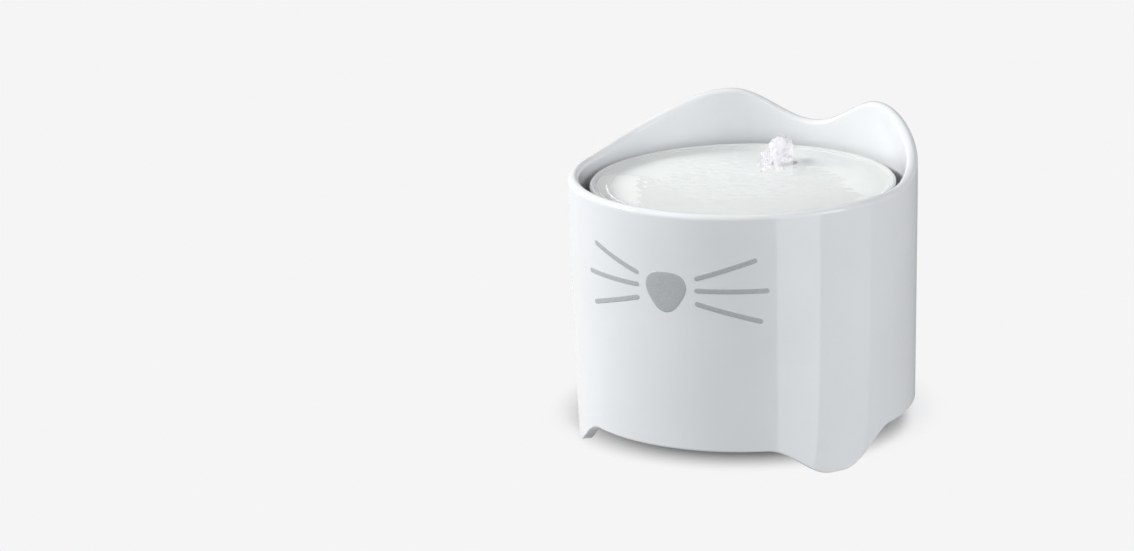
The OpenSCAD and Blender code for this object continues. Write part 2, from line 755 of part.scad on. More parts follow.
module volute_seal() {
  color("black") translate([0, pump_back - seal_section, axis_z]) rotate([90, 0, 0])
    rotate_extrude() translate([seal_r, 0]) circle(seal_section - 0.02);
}

module pump_cover() {
  spoke_w = 1.8;
  plate_end = pump_back + cover_t;
  color("dimgray") {
    difference() {
      along_y(pump_back, plate_end, axis_z) pump_outline();
      difference() {
        bar_y(intake_r, pump_back - over, plate_end + over, axis_z);
        bar_y(hub_r, pump_back - 2 * over, plate_end + 2 * over, axis_z);
        for (i = [0:3]) translate([0, 0, axis_z]) rotate([0, 90 * i, 0])
          translate([0, pump_back - 2 * over, -spoke_w / 2])
            cube([intake_r + over, cover_t + 4 * over, spoke_w]);
      }
      bar_y(bush_r, pump_back - over, pump_back + bush_t, axis_z);
    }
    bar_y(boss_r, plate_end - 0.5, head_y, axis_z);
    bar_y(boss_head_r, head_y, head_y + boss_head_t, axis_z);
  }
}

// The dial's windows line up with the intake at one end of its turn, and cover it at the other
module flow_dial() {
  windows = 4;
  color("lightgray") difference() {
    union() {
      bar_y(dial_r, dial_y, dial_end_y, axis_z);
      translate([-2, dial_y, axis_z + dial_r - 1]) cube([4, dial_t, dial_tab + 1]);
    }
    bar_y(boss_r + fit_gap, dial_y - over, dial_end_y + over, axis_z);
    for (i = [0:windows - 1]) translate([0, 0, axis_z]) rotate([0, 45 + 360 * i / windows, 0])
      translate([(hub_r + intake_r) / 2, 0, 0])
        bar_y((intake_r - hub_r) / 2, dial_y - over, dial_end_y + over, 0);
  }
}

// ---------- lead and gland ----------

// A smooth curve through the route's points: p1 to p2, with p0 and p3 as neighbours
function curve(p0, p1, p2, p3, t) = 0.5 * (2 * p1 + (p2 - p0) * t
  + (2 * p0 - 5 * p1 + 4 * p2 - p3) * t * t + (3 * p1 - p0 - 3 * p2 + p3) * t * t * t);
function route(pts) = let(n = len(pts) - 1) concat(
  [for (i = [0:n - 1], k = [0:lead_steps - 1])
    curve(pts[max(i - 1, 0)], pts[i], pts[i + 1], pts[min(i + 2, n)], k / lead_steps)],
  [pts[n]]);
function unit(v) = v / norm(v);

// A round tube swept along a list of points
module swept(pts, r, sides) {
  n = len(pts) - 1;
  lean = [1, 1, -1];
  points = [for (i = [0:n])
    let(along = unit(pts[min(i + 1, n)] - pts[max(i - 1, 0)]),
      u = unit(cross(along, lean)), v = cross(along, u))
    for (k = [0:sides - 1]) pts[i] + r * (u * cos(360 * k / sides) + v * sin(360 * k / sides))];
  skin = [for (i = [0:n - 1], k = [0:sides - 1]) let(l = (k + 1) % sides)
    [i * sides + k, i * sides + l, (i + 1) * sides + l, (i + 1) * sides + k]];
  caps = [[for (k = [sides - 1:-1:0]) k], [for (k = [0:sides - 1]) n * sides + k]];
  polyhedron(points, concat(skin, caps));
}

module pump_lead() {
  color("black") swept(route(LEAD), lead_r, 8);
}

module lead_gland() {
  plug_r = lead_r + 1;
  gland_l = 2.5;
  color("black") translate([pump_w / 2 - pump_wall, lead_side_y, lead_side_z]) rotate([0, 90, 0])
    difference() {
      union() {
        cylinder(r = plug_r, h = pump_wall + gland_l / 2);
        translate([0, 0, pump_wall]) cylinder(r1 = plug_r + 1, r2 = lead_r + 0.6, h = gland_l);
      }
      translate([0, 0, -over]) cylinder(r = lead_r + snug_gap, h = pump_wall + gland_l + 2 * over);
    }
}

// ---------- power inlet ----------

module inlet_socket() {
  color("dimgray") difference() {
    union() {
      bar_y(inlet_flange_r, inlet_face - inlet_flange_t, inlet_face, inlet_z);
      bar_y(inlet_r, socket_end, inlet_face - inlet_flange_t / 2, inlet_z);
    }
    bar_y(plug_hole_r, inlet_face - plug_depth, inlet_face + over, inlet_z);
  }
}

module inlet_pin() {
  color("silver") bar_y(plug_pin_r, inlet_face - plug_depth, inlet_face - 1, inlet_z);
}

module inlet_seal() {
  color("black") ring_y(inlet_flange_r, inlet_r + fit_gap, inlet_seat, inlet_seat + inlet_seal_t, inlet_z);
}

module inlet_nut() {
  color("silver") along_y(nut_y, inlet_inner, inlet_z) difference() {
    rotate(30) circle(r = nut_flats / 2 / cos(30), $fn = 6);
    circle(inlet_r + fit_gap);
  }
}

// Closes the socket's inner end, and takes the pump's lead from below
module inlet_backshell() {
  spout_l = 3;
  color("dimgray") difference() {
    union() {
      bar_y(shell_r, shell_end, nut_y - seat_gap, inlet_z);
      translate([0, LEAD[len(LEAD) - 1][1], inlet_z - shell_r - spout_l])
        cylinder(r = lead_r + 1, h = spout_l + shell_r / 2);
    }
    bar_y(inlet_r + fit_gap, socket_end, nut_y + over, inlet_z);
    translate([0, LEAD[len(LEAD) - 1][1], inlet_z - shell_r - spout_l - over])
      cylinder(r = lead_r + snug_gap, h = spout_l + over + shell_r - inlet_r);
  }
}

vessel();
nose_print();
whisker_prints();
tray();
nozzle();
riser_tube();
filter_case();
case_feet();
filter_case_lid();
cartridge_frame();
cartridge_fleece();
carbon_granules();
foam_block();
pump_housing();
suction_cups();
motor_cap();
control_board();
stator_yoke();
stator_coil();
rotor_shaft();
front_bush();
rear_bush();
rotor_magnet();
impeller();
volute_seal();
pump_cover();
flow_dial();
pump_lead();
lead_gland();
inlet_socket();
inlet_pin();
inlet_seal();
inlet_nut();
inlet_backshell();
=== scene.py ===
"""A ceramic pet water fountain: the glazed vessel, its tray, water and spout, and the pump,
filter and power inlet inside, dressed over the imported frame."""
import json
import math

import bmesh
import bpy
import numpy as np
from bpy.props import FloatProperty, FloatVectorProperty, PointerProperty
from mathutils import Matrix, Vector

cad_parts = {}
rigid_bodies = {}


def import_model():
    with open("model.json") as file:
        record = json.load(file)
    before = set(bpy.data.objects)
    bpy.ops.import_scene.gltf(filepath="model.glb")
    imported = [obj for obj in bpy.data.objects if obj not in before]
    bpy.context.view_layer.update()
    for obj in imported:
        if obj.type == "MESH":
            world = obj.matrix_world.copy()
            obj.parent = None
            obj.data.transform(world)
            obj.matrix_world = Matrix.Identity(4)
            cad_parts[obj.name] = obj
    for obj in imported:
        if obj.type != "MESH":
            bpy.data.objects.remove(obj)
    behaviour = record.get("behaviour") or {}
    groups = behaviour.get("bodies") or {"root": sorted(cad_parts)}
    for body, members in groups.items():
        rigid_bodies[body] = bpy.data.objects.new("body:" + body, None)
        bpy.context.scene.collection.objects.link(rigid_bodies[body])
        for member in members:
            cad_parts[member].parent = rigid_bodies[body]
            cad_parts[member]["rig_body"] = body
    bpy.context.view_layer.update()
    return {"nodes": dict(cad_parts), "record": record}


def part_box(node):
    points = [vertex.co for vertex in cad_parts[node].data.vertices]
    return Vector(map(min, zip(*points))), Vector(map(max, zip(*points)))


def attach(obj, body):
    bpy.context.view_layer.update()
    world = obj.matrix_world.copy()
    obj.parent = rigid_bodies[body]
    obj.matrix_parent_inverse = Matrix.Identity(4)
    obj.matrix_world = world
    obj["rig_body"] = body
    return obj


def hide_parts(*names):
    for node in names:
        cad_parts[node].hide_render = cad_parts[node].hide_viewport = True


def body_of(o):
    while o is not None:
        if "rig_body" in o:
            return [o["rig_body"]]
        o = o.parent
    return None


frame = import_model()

bl_info = {
    "name": "Pet water fountain",
    "version": (1, 0, 0),
    "blender": (4, 5, 0),
    "location": "View3D > Sidebar > Fountain",
    "description": "Builds a ceramic pet water fountain with running water",
    "category": "Add Mesh",
}

MM = 0.001
ROOT = "vessel_and_pump"
# Edges that bend by more than this are drawn sharp
SHARP = math.radians(40)
# Most of a noise texture lies between these two values
NOISE_LOW, NOISE_HIGH = 0.3, 0.7


def linear(code):
    """An sRGB hex colour such as #C5CACD as linear red, green and blue."""
    parts = [int(code[i:i + 2], 16) / 255 for i in (1, 3, 5)]
    return tuple(p / 12.92 if p <= 0.04045 else ((p + 0.055) / 1.055) ** 2.4 for p in parts)


def length(name, description, default):
    return FloatProperty(name=name, description=description, default=default, unit="LENGTH",
                         subtype="DISTANCE", precision=4)


def angle(name, description, degrees):
    return FloatProperty(name=name, description=description, default=math.radians(degrees),
                         subtype="ANGLE")


def amount(name, description, default):
    return FloatProperty(name=name, description=description, default=default, precision=3)


def colour(name, description, code):
    return FloatVectorProperty(name=name, description=description, default=linear(code),
                               subtype="COLOR", size=3, min=0, max=1)


# ---------- sizes and colours that a user would change ----------

VESSEL_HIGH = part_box("vessel")[1]
TRAY_LOW, TRAY_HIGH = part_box("tray")
NOZZLE_LOW, NOZZLE_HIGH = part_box("nozzle")
SOCKET_LOW, SOCKET_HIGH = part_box("inlet_socket")
SEAL_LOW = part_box("inlet_seal")[0]
NUT_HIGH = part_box("inlet_nut")[1]
SPOUT_Y = (NOZZLE_LOW.y + NOZZLE_HIGH.y) / 2


class FountainVessel(bpy.types.PropertyGroup):
    rim_radius: length("Rim radius", "Outer radius at the rim", VESSEL_HIGH.x)
    foot_radius: length("Foot radius", "Outer radius at the feet", VESSEL_HIGH.x - 2 * MM)
    wall: length("Wall", "Thickness of the wall", 5.6 * MM)
    front_height: length("Front height", "Height of the rim in front", TRAY_HIGH.z + 5 * MM)
    ear_height: length("Ear height", "Height of the ears", VESSEL_HIGH.z)
    back_height: length("Back height", "Height of the dip between the ears",
                        VESSEL_HIGH.z - 15.5 * MM)
    ear_angle: angle("Ear angle", "Angle of each ear's tip from the front", 150)
    rise_start: angle("Rise start", "Angle at which the rim starts to rise", 86)
    flattening: amount("Flattening", "Share by which the ears' outer sides are flattened", 0.16)
    floor_height: length("Underside", "Height of the underside", 20.5 * MM)
    floor_thickness: length("Floor", "Thickness of the floor", 5 * MM)
    cove: length("Cove", "Radius between floor and wall", 6 * MM)
    foot_angle: angle("Foot angle", "Angle of each front foot from the front", 57.5)
    foot_flank: angle("Foot flank", "Angle over which a foot blends into an arch", 25)
    foot_flat: angle("Foot flat", "Half of the flat stretch under a foot", 2.5)
    front_arch: length("Front arch", "Height of the arch in front", 14.9 * MM)
    side_arch: length("Side arches", "Height of the arches at the sides", 16.7 * MM)
    foot_lip: length("Foot lip", "Radius on the edges under the feet", 1 * MM)


class FountainTray(bpy.types.PropertyGroup):
    dish_depth: length("Dish depth", "Depth below the tray's edge", 6.8 * MM)
    slope: length("Slope", "Width of the sloping side", 8 * MM)
    edge: length("Edge", "Width of the rounded edge", 2.4 * MM)
    hole_radius: length("Hole radius", "Radius of the hole round the spout", 6.7 * MM)
    mound_radius: length("Mound radius", "Radius of the mound round the hole", 17 * MM)
    mound_drop: length("Mound drop", "Drop from the tray's edge to the mound's top", 2.3 * MM)


class FountainWater(bpy.types.PropertyGroup):
    level: length("Level", "Drop from the tray's edge to the water", 0.7 * MM)
    jet_height: length("Jet height", "Height of the jet's middle above the nozzle", 6.8 * MM)
    jet_throw: length("Jet throw", "How far in front of the spout the jet lands", 13 * MM)
    ripple_length: length("Ripple length", "Distance between two ripples", 6.5 * MM)
    ripple_height: length("Ripple height", "Height of the ripples in front of the jet", 0.16 * MM)


class FountainColours(bpy.types.PropertyGroup):
    glaze: colour("Glaze", "White glaze of the vessel", "#F3F5F6")
    # The tray's white is greyer than the vessel's, and darkened further as painted shade that tones
    # the whole tray down
    tray_glaze: colour("Tray glaze", "White glaze of the tray", "#E3E4E3")
    pigment: colour("Print", "Grey of the nose and whiskers", "#BABEC0")
    bisque: colour("Bisque", "Bare clay under the feet", "#E6DFD2")
    water: colour("Water", "Tint of the water", "#F8FAF9")
    floor: colour("Floor", "Floor round the fountain", "#F9FAFA")
    bounce: colour("Bounce", "Floor as it lights the fountain from below", "#B0B2B4")
    backdrop: colour("Backdrop", "Backdrop and far floor", "#F5F5F5")


class FountainStage(bpy.types.PropertyGroup):
    azimuth: angle("Azimuth", "Camera's turn to the right of the front", 26.1)
    elevation: angle("Elevation", "Camera's angle above the horizon", 16.01)
    distance: length("Distance", "Camera's distance from the point it aims at", 1.8697)
    aim_height: length("Aim height", "Height of that point", 0.08)
    roll: angle("Roll", "Camera's clockwise turn about its view", 0.964)
    lens: amount("Lens", "Focal length in millimetres", 117.05)
    shift_x: amount("Shift X", "Sideways shift of the frame", -0.15645)
    shift_y: amount("Shift Y", "Upward shift of the frame", 0.00078)
    room_light: amount("Room light", "Strength of the even light of the room", 0.28)
    key_power: amount("Key light", "Power of the soft box at the left in watts", 25.5)
    brow_power: amount("Brow light", "Power of the soft box high at the front left in watts", 3.8)
    fill_power: amount("Fill light", "Power of the soft box at the right in watts", 15)
    floor_power: amount("Floor light", "Power of the soft box for the floor in watts", 24)


GROUPS = {"fountain_vessel": FountainVessel, "fountain_tray": FountainTray,
          "fountain_water": FountainWater, "fountain_colours": FountainColours,
          "fountain_stage": FountainStage}


# ---------- shapes as arrays of points ----------

def ease(low, high, t):
    """Cosine ease: low plus (high - low) times (1 - cos(pi t)) / 2, with t held from 0 to 1."""
    return low + (high - low) * (1 - np.cos(np.pi * np.clip(t, 0, 1))) / 2


def folded(a):
    """An angle round the vessel folded to 0 in front and pi at the back."""
    a = np.mod(a, 2 * np.pi)
    return np.minimum(a, 2 * np.pi - a)


def around(a, r, z):
    """Points at an angle from the front towards +X: (r sin a, -r cos a, z)."""
    a, r, z = np.broadcast_arrays(a, r, z)
    return np.stack([r * np.sin(a), -r * np.cos(a), z], -1)


def bell(distance, width):
    """Bell curve e^(-(d / w)^2) of a distance d and a width w."""
    return np.exp(-(distance / width) ** 2)


def taper_top(v):
    """Height at which the wall stops widening and stands upright, below the rim in front."""
    upright = 10 * MM
    return v.front_height - upright


def outer_radius(v, z):
    """Foot radius at the ground, growing evenly with height up to the taper's top."""
    return v.foot_radius + (v.rim_radius - v.foot_radius) * np.clip(z / taper_top(v), 0, 1)


def rim_height(v, a):
    """Front height, up to the ear by an ease times 1 - flattening sin^2(pi t), where t goes
    from 0 to 1 over the rise, and eased down again to the dip at the back."""
    a = folded(a)
    t = np.clip((a - v.rise_start) / (v.ear_angle - v.rise_start), 0, 1)
    rise = ease(0, v.ear_height - v.front_height, t) * (1 - v.flattening * np.sin(np.pi * t) ** 2)
    fall = (a - v.ear_angle) / (np.pi - v.ear_angle)
    return np.where(a < v.ear_angle, v.front_height + rise, ease(v.ear_height, v.back_height, fall))


def skirt_height(v, a):
    """Zero under each of three feet, eased up to the arch between them."""
    a = folded(a)
    away = np.minimum(np.abs(a - v.foot_angle), np.pi - a)
    arch = np.where(a < v.foot_angle, v.front_arch, v.side_arch)
    return ease(0, arch, (away - v.foot_flat) / (v.foot_flank - v.foot_flat))


def vessel_skin(v):
    """The wall's section turned round the axis: from the middle of the floor out, up the
    cove and the inside, over the rim's half circle, down the outside, round the foot's
    lip, up the skirt's inside and in along the underside. Rim and skirt heights follow
    the angle."""
    a = np.linspace(0, 2 * np.pi, 481)[:, None]
    rim, foot = rim_height(v, a), skirt_height(v, a)
    half, lip, top = v.wall / 2, v.foot_lip, v.floor_height + v.floor_thickness
    low = outer_radius(v, top + v.cove) - v.wall
    out = outer_radius(v, foot)
    quarter = np.linspace(0, np.pi / 2, 8)[None]
    half_turn = np.linspace(np.pi, 0, 19)[None]

    def run(start, end, steps):
        return start + (end - start) * np.linspace(0, 1, steps)[None]

    inside = run(top + v.cove, taper_top(v), 26)
    outside = run(taper_top(v), foot + lip, 34)
    under = outer_radius(v, v.floor_height) - v.wall
    parts = [
        (run(0, low - v.cove, 14), top),
        (low - v.cove + v.cove * np.sin(quarter), top + v.cove - v.cove * np.cos(quarter)),
        (outer_radius(v, inside) - v.wall, inside),
        (v.rim_radius - v.wall, run(taper_top(v), rim - half, 12)),
        (v.rim_radius - half + half * np.cos(half_turn), rim - half + half * np.sin(half_turn)),
        (v.rim_radius, run(rim - half, taper_top(v), 12)),
        (outer_radius(v, outside), outside),
        (out - lip + lip * np.cos(quarter), foot + lip - lip * np.sin(quarter)),
        (out - v.wall + lip - lip * np.sin(quarter), foot + lip - lip * np.cos(quarter)),
        (run(out - v.wall, under, 9), run(foot + lip, v.floor_height, 9)),
        (run(under, 0, 12), v.floor_height),
    ]
    return np.concatenate([around(a, *part) for part in parts], 1)


def turned(profile, turns, centre, along="Z"):
    """(radius, height) pairs turned about an axis: (r cos t, r sin t, h), laid along Z, or
    along Y with the height as y, and moved to the centre."""
    t = np.linspace(0, 2 * np.pi, turns + 1)[:, None]
    r, h = np.asarray(profile, float).T[:, None]
    grid = np.stack([r * np.cos(t), r * np.sin(t), h + 0 * t], -1)
    return grid[..., [0, 2, 1] if along == "Y" else [0, 1, 2]] + np.asarray(centre)


def softened(corners, radius, steps=5):
    """A line through corners with each inner corner rounded: (1-t)^2 a + 2t(1-t) p + t^2 b,
    where a and b lie up to the radius from the corner p on its two sides."""
    p = np.asarray(corners, float)
    mid, before, after = p[1:-1], p[:-2] - p[1:-1], p[2:] - p[1:-1]

    def beside(d):
        size = np.linalg.norm(d, axis=1, keepdims=True)
        return mid + d * np.minimum(radius / np.maximum(size, 1e-9), 0.45)

    t = np.linspace(0, 1, steps)[None, :, None]
    a, b = beside(before)[:, None], beside(after)[:, None]
    curve = (1 - t) ** 2 * a + 2 * t * (1 - t) * mid[:, None] + t ** 2 * b
    return np.concatenate([p[:1], curve.reshape(-1, p.shape[1]), p[-1:]])


def swell(points, size, seed):
    """Smooth noise round 0, mostly from -1 to 1: the sum of n sines of p.k + phase over the
    root of n, whose wave vectors k have fixed random directions and a length of 2 pi over the
    size."""
    random, waves = np.random.default_rng(seed), 12
    k = random.normal(size=(waves, 3))
    k *= 2 * np.pi / size / np.linalg.norm(k, axis=1, keepdims=True)
    phase = random.uniform(0, 2 * np.pi, waves)
    return np.sin(points @ k.T + phase).sum(-1) / math.sqrt(waves)


def rounded_block(low, high, inset, radius, cells, bumps, size, seed=1):
    """Six grids over a box that lies inside another by the inset. Each point p goes to
    q + r d / |d|, where q is p held to the box that is smaller by the radius r and d is p - q,
    and moves along d by noise of the bumps' height and size."""
    low, high = np.asarray(low) + inset, np.asarray(high) - inset
    middle, reach = (low + high) / 2, (high - low) / 2
    s = np.sin(np.linspace(-np.pi / 2, np.pi / 2, cells + 1))
    u, w = np.meshgrid(s, s, indexing="ij")
    grids = []
    for axis in range(3):
        for side in (-1, 1):
            p = np.stack(np.roll([side + 0 * u, u, w], axis, 0), -1) * reach
            q = np.clip(p, radius - reach, reach - radius)
            d = p - q
            d /= np.linalg.norm(d, axis=-1, keepdims=True)
            grids.append(middle + q + (radius + bumps * swell(p, size, seed)[..., None]) * d)
    return grids


def tube(path, radius, sides):
    """Rings of a radius round each point of a path, across its direction, closed at the ends
    by rings of no radius. The radius may change along the path and round it."""
    along = np.gradient(path, axis=0)
    along /= np.linalg.norm(along, axis=1, keepdims=True)
    u = np.cross(along, [1.0, 1.0, -1.0])
    u /= np.linalg.norm(u, axis=1, keepdims=True)
    w = np.cross(along, u)
    t = np.linspace(0, 2 * np.pi, sides + 1)
    ring = u[:, None] * np.cos(t)[None, :, None] + w[:, None] * np.sin(t)[None, :, None]
    rings = path[:, None] + ring * np.broadcast_to(radius, ring.shape[:2])[..., None]
    ends = np.broadcast_to(path[[0, -1], None], (2, sides + 1, 3))
    return np.concatenate([ends[:1], rings, ends[1:]])


def smooth_route(points, steps):
    """Catmull-Rom curve through points: between p1 and p2, with p0 and p3 as neighbours, half of
    2 p1 + (p2 - p0) t + (2 p0 - 5 p1 + 4 p2 - p3) t^2 + (3 p1 - p0 - 3 p2 + p3) t^3."""
    p = np.concatenate([points[:1], points, points[-1:]])
    p0, p1, p2, p3 = (p[i:len(p) - 3 + i, None] for i in range(4))
    t = np.linspace(0, 1, steps, endpoint=False)[None, :, None]
    curve = 0.5 * (2 * p1 + (p2 - p0) * t + (2 * p0 - 5 * p1 + 4 * p2 - p3) * t ** 2
                   + (3 * p1 - p0 - 3 * p2 + p3) * t ** 3)
    return np.concatenate([curve.reshape(-1, 3), p[-1:]])


def towards(azimuth, elevation):
    """Unit vector at an angle a from the front towards +X and an angle e above the horizon:
    (sin a cos e, -cos a cos e, sin e)."""
    return Vector((math.sin(azimuth) * math.cos(elevation),
                   -math.cos(azimuth) * math.cos(elevation), math.sin(elevation)))


# ---------- meshes ----------

def mesh_of(name, grids):
    """A mesh whose faces span the neighbours in each grid of points. Points that coincide, as
    at poles and seams, become one, and the faces are turned outwards."""
    points, faces, count = [], [], 0
    for grid in grids:
        rows, columns = grid.shape[:2]
        i, j = np.meshgrid(np.arange(rows - 1), np.arange(columns - 1), indexing="ij")
        corner = count + i * columns + j
        faces.append(np.stack([corner, corner + 1, corner + columns + 1, corner + columns], -1)
                     .reshape(-1, 4))
        points.append(grid.reshape(-1, 3))
        count += rows * columns
    mesh = bpy.data.meshes.new(name)
    mesh.from_pydata(np.concatenate(points), [], np.concatenate(faces).tolist())
    shape = bmesh.new()
    shape.from_mesh(mesh)
    bmesh.ops.remove_doubles(shape, verts=shape.verts, dist=1e-6)
    bmesh.ops.recalc_face_normals(shape, faces=shape.faces)
    shape.to_mesh(mesh)
    shape.free()
    return mesh


def placed(name, data):
    """A new object of some data, at the origin."""
    made = bpy.data.objects.new(name, data)
    bpy.context.collection.objects.link(made)
    return made


def piece(name, grids, material, body, replaces=()):
    """A new piece from closed grids of points, which rides on a body."""
    made = placed(name, mesh_of(name, grids))
    made.data.polygons.foreach_set("use_smooth", [True] * len(made.data.polygons))
    made.data.set_sharp_from_angle(angle=SHARP)
    made.data.materials.append(material)
    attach(made, body)
    if replaces:
        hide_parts(*replaces)
    return made


def cut(target, cutter_grids, name):
    """Cuts a closed shape out of a piece for good."""
    cutter = placed(name, mesh_of(name, cutter_grids))
    modifier = target.modifiers.new(name, "BOOLEAN")
    modifier.operation, modifier.solver, modifier.object = "DIFFERENCE", "EXACT", cutter
    evaluated = target.evaluated_get(bpy.context.evaluated_depsgraph_get())
    mesh = bpy.data.meshes.new_from_object(evaluated)
    target.modifiers.clear()
    target.data = mesh
    mesh.set_sharp_from_angle(angle=SHARP)
    bpy.data.objects.remove(cutter)


# ---------- materials ----------

def per_mm(size):
    """The scale of a pattern whose features are this many millimetres apart."""
    return 1 / (size * MM)


def opaque(rgb, share=1.0):
    """A share of a colour, with full opacity."""
    return (*(share * c for c in rgb), 1.0)


def add(tree, kind, inputs=(), output=0, **settings):
    """Adds a node with its settings, sets its inputs, or links them where a socket is given,
    and gives back one of its outputs if it has any."""
    made = tree.nodes.new("ShaderNode" + kind)
    for key, value in settings.items():
        setattr(made, key, value)
    for key, value in dict(inputs).items():
        if isinstance(value, bpy.types.NodeSocket):
            tree.links.new(value, made.inputs[key])
        else:
            made.inputs[key].default_value = value
    return made.outputs[output] if made.outputs else None


def emptied(owner):
    """The node tree of a material or a world, with nothing in it."""
    owner.use_nodes = True
    owner.node_tree.nodes.clear()
    return owner.node_tree


def start(name):
    """A new material, its node tree and the object's coordinates in it."""
    material = bpy.data.materials.new(name)
    tree = emptied(material)
    return material, tree, add(tree, "TexCoord", output="Object")


def worn(tree, grain, rough, depth):
    """Inputs of a shader whose grain, which spreads as noise does, drives its roughness between
    two values and makes a bump of a depth in millimetres."""
    return {"Roughness": add(tree, "MapRange", {
        "Value": grain, "From Min": NOISE_LOW, "From Max": NOISE_HIGH, "To Min": rough[0],
        "To Max": rough[1]}),
        "Normal": add(tree, "Bump", {"Height": grain, "Distance": depth * MM})}


def finish(name, high, low, rough, size, depth, pattern=None, detail=3, **values):
    """A material whose pattern, noise unless another is given, drives its colour from the one
    where it is low to the one where it is high, its roughness between two values and a bump."""
    material, tree, coords = start(name)
    grain = pattern(tree, coords, size) if pattern else add(tree, "TexNoise", {
        "Vector": coords, "Scale": per_mm(size), "Detail": detail})
    base = add(tree, "Mix", {0: grain, 6: opaque(low), 7: opaque(high)}, 2, data_type="RGBA")
    shader = add(tree, "BsdfPrincipled", {
        "Base Color": base, **worn(tree, grain, rough, depth), **values})
    add(tree, "OutputMaterial", {"Surface": shader})
    return material


def under_water(tree, height, level):
    """A normal drawn most of the way to the vertical where a side faces up below the water,
    because light that water has bent comes down steeply and evens out the slopes there."""
    most, shallow = 0.8, 0.8 * MM
    steep, gentle = 0.1, 0.5
    normal = add(tree, "NewGeometry", output="Normal")
    facing = add(tree, "MapRange", {"Value": add(tree, "SeparateXYZ", {0: normal}, "Z"),
                                    "From Min": steep, "From Max": gentle})
    share = add(tree, "MapRange", {
        "Value": height, "From Min": level, "From Max": level - shallow,
        "To Max": add(tree, "Math", {0: facing, 1: most}, operation="MULTIPLY")})
    drawn = add(tree, "Mix", {0: share, 4: normal, 5: (0, 0, 1)}, 1, data_type="VECTOR")
    return add(tree, "VectorMath", {0: drawn}, operation="NORMALIZE")


def glaze(name, rgb, bisque, water=None):
    """White gloss glaze, dipped and fired: pooled a little thicker and cooler here and there,
    with a slow waviness that bends reflections, and bare clay where the feet stand. Where the
    height of water is given, slopes under it are lit as water lights them."""
    material, tree, coords = start(name)
    # Pools of glaze, grit of the clay, waves and orange peel: size in millimetres and detail
    pools, grit, waves, peel = (add(tree, "TexNoise", {
        "Vector": coords, "Scale": per_mm(size), "Detail": detail})
        for size, detail in [(45, 2), (0.8, 3), (14, 1), (1.6, 2)])
    pooled = add(tree, "MapRange", {"Value": pools, "From Min": NOISE_LOW, "From Max": NOISE_HIGH})
    # Each goes from a darker share of its tone to the tone
    fired, clay = (add(tree, "Mix", {0: grain, 6: opaque(tone, share), 7: opaque(tone)}, 2,
                       data_type="RGBA")
                   for grain, tone, share in [(pooled, rgb, 0.965), (grit, bisque, 0.88)])
    height = add(tree, "SeparateXYZ", {0: coords}, "Z")
    wiped, covered = 0.25 * MM, 0.55 * MM
    bare = add(tree, "MapRange", {"Value": height, "From Min": wiped, "From Max": covered,
                                  "To Min": 1.0, "To Max": 0.0})
    bend = {"Normal": under_water(tree, height, water)} if water else {}
    for bumps, depth in [(waves, 0.05), (peel, 0.0015)]:
        bend = {"Normal": add(tree, "Bump", {"Height": bumps, "Distance": depth * MM, **bend})}
    shader = add(tree, "BsdfPrincipled", {
        "Base Color": add(tree, "Mix", {0: bare, 6: fired, 7: clay}, 2, data_type="RGBA"),
        "Roughness": add(tree, "MapRange", {"Value": bare, "To Min": 0.07, "To Max": 0.8}),
        "IOR": 1.52, **bend})
    add(tree, "OutputMaterial", {"Surface": shader})
    return material


def clear(name, rgb, ior, rough, size, depth, shade=0.9, purity=1.0):
    """A clear body that light passes: glass-like for the eye, milky where its purity is below
    1, and see-through for the lamps, so that it throws only a faint shadow."""
    material, tree, coords = start(name)
    grain = add(tree, "TexNoise", {"Vector": coords, "Scale": per_mm(size), "Detail": 2})
    body = add(tree, "BsdfPrincipled", {
        "Base Color": opaque(rgb), "IOR": ior, "Transmission Weight": purity,
        **worn(tree, grain, rough, depth)})
    lamp = add(tree, "BsdfTransparent", {"Color": opaque(rgb, shade)})
    mixed = add(tree, "MixShader", {
        0: add(tree, "LightPath", output="Is Shadow Ray"), 1: body, 2: lamp})
    add(tree, "OutputMaterial", {"Surface": mixed})
    return material


def cells(tree, coords, size):
    """Rounded cells of a size, as in foam or granules, from 0 between them to 1 at the middle."""
    away = add(tree, "TexVoronoi", {"Vector": coords, "Scale": per_mm(size)}, "Distance")
    return add(tree, "MapRange", {"Value": away, "From Max": 0.7, "To Min": 1.0, "To Max": 0.0})


def fibres(tree, coords, size):
    """Noise drawn out along X and Z by turns, as felted fibres lie."""
    flat, upright = (add(tree, "TexNoise", {
        "Vector": add(tree, "Mapping", {"Vector": coords, "Scale": scale}),
        "Scale": per_mm(size), "Detail": 4}) for scale in [(0.15, 1, 1), (1, 1, 0.15)])
    return add(tree, "Math", {0: flat, 1: upright}, operation="MAXIMUM")


def windings(tree, coords, size):
    """Even ridges across Y, one for each turn of wire. At a scale of 1 the node draws a little
    over three bands to a unit."""
    bands = 3.14
    return add(tree, "TexWave", {"Vector": coords, "Scale": per_mm(size) / bands,
                                 "Distortion": 0.4}, "Fac",
               bands_direction="Y", wave_profile="SIN")


def brushed(tree, coords, size):
    """Noise drawn out round the axis along Y, as turning leaves it."""
    lines = add(tree, "Mapping", {"Vector": coords, "Scale": (0.08, 1, 0.08)})
    return add(tree, "TexNoise", {"Vector": lines, "Scale": per_mm(size), "Detail": 3})


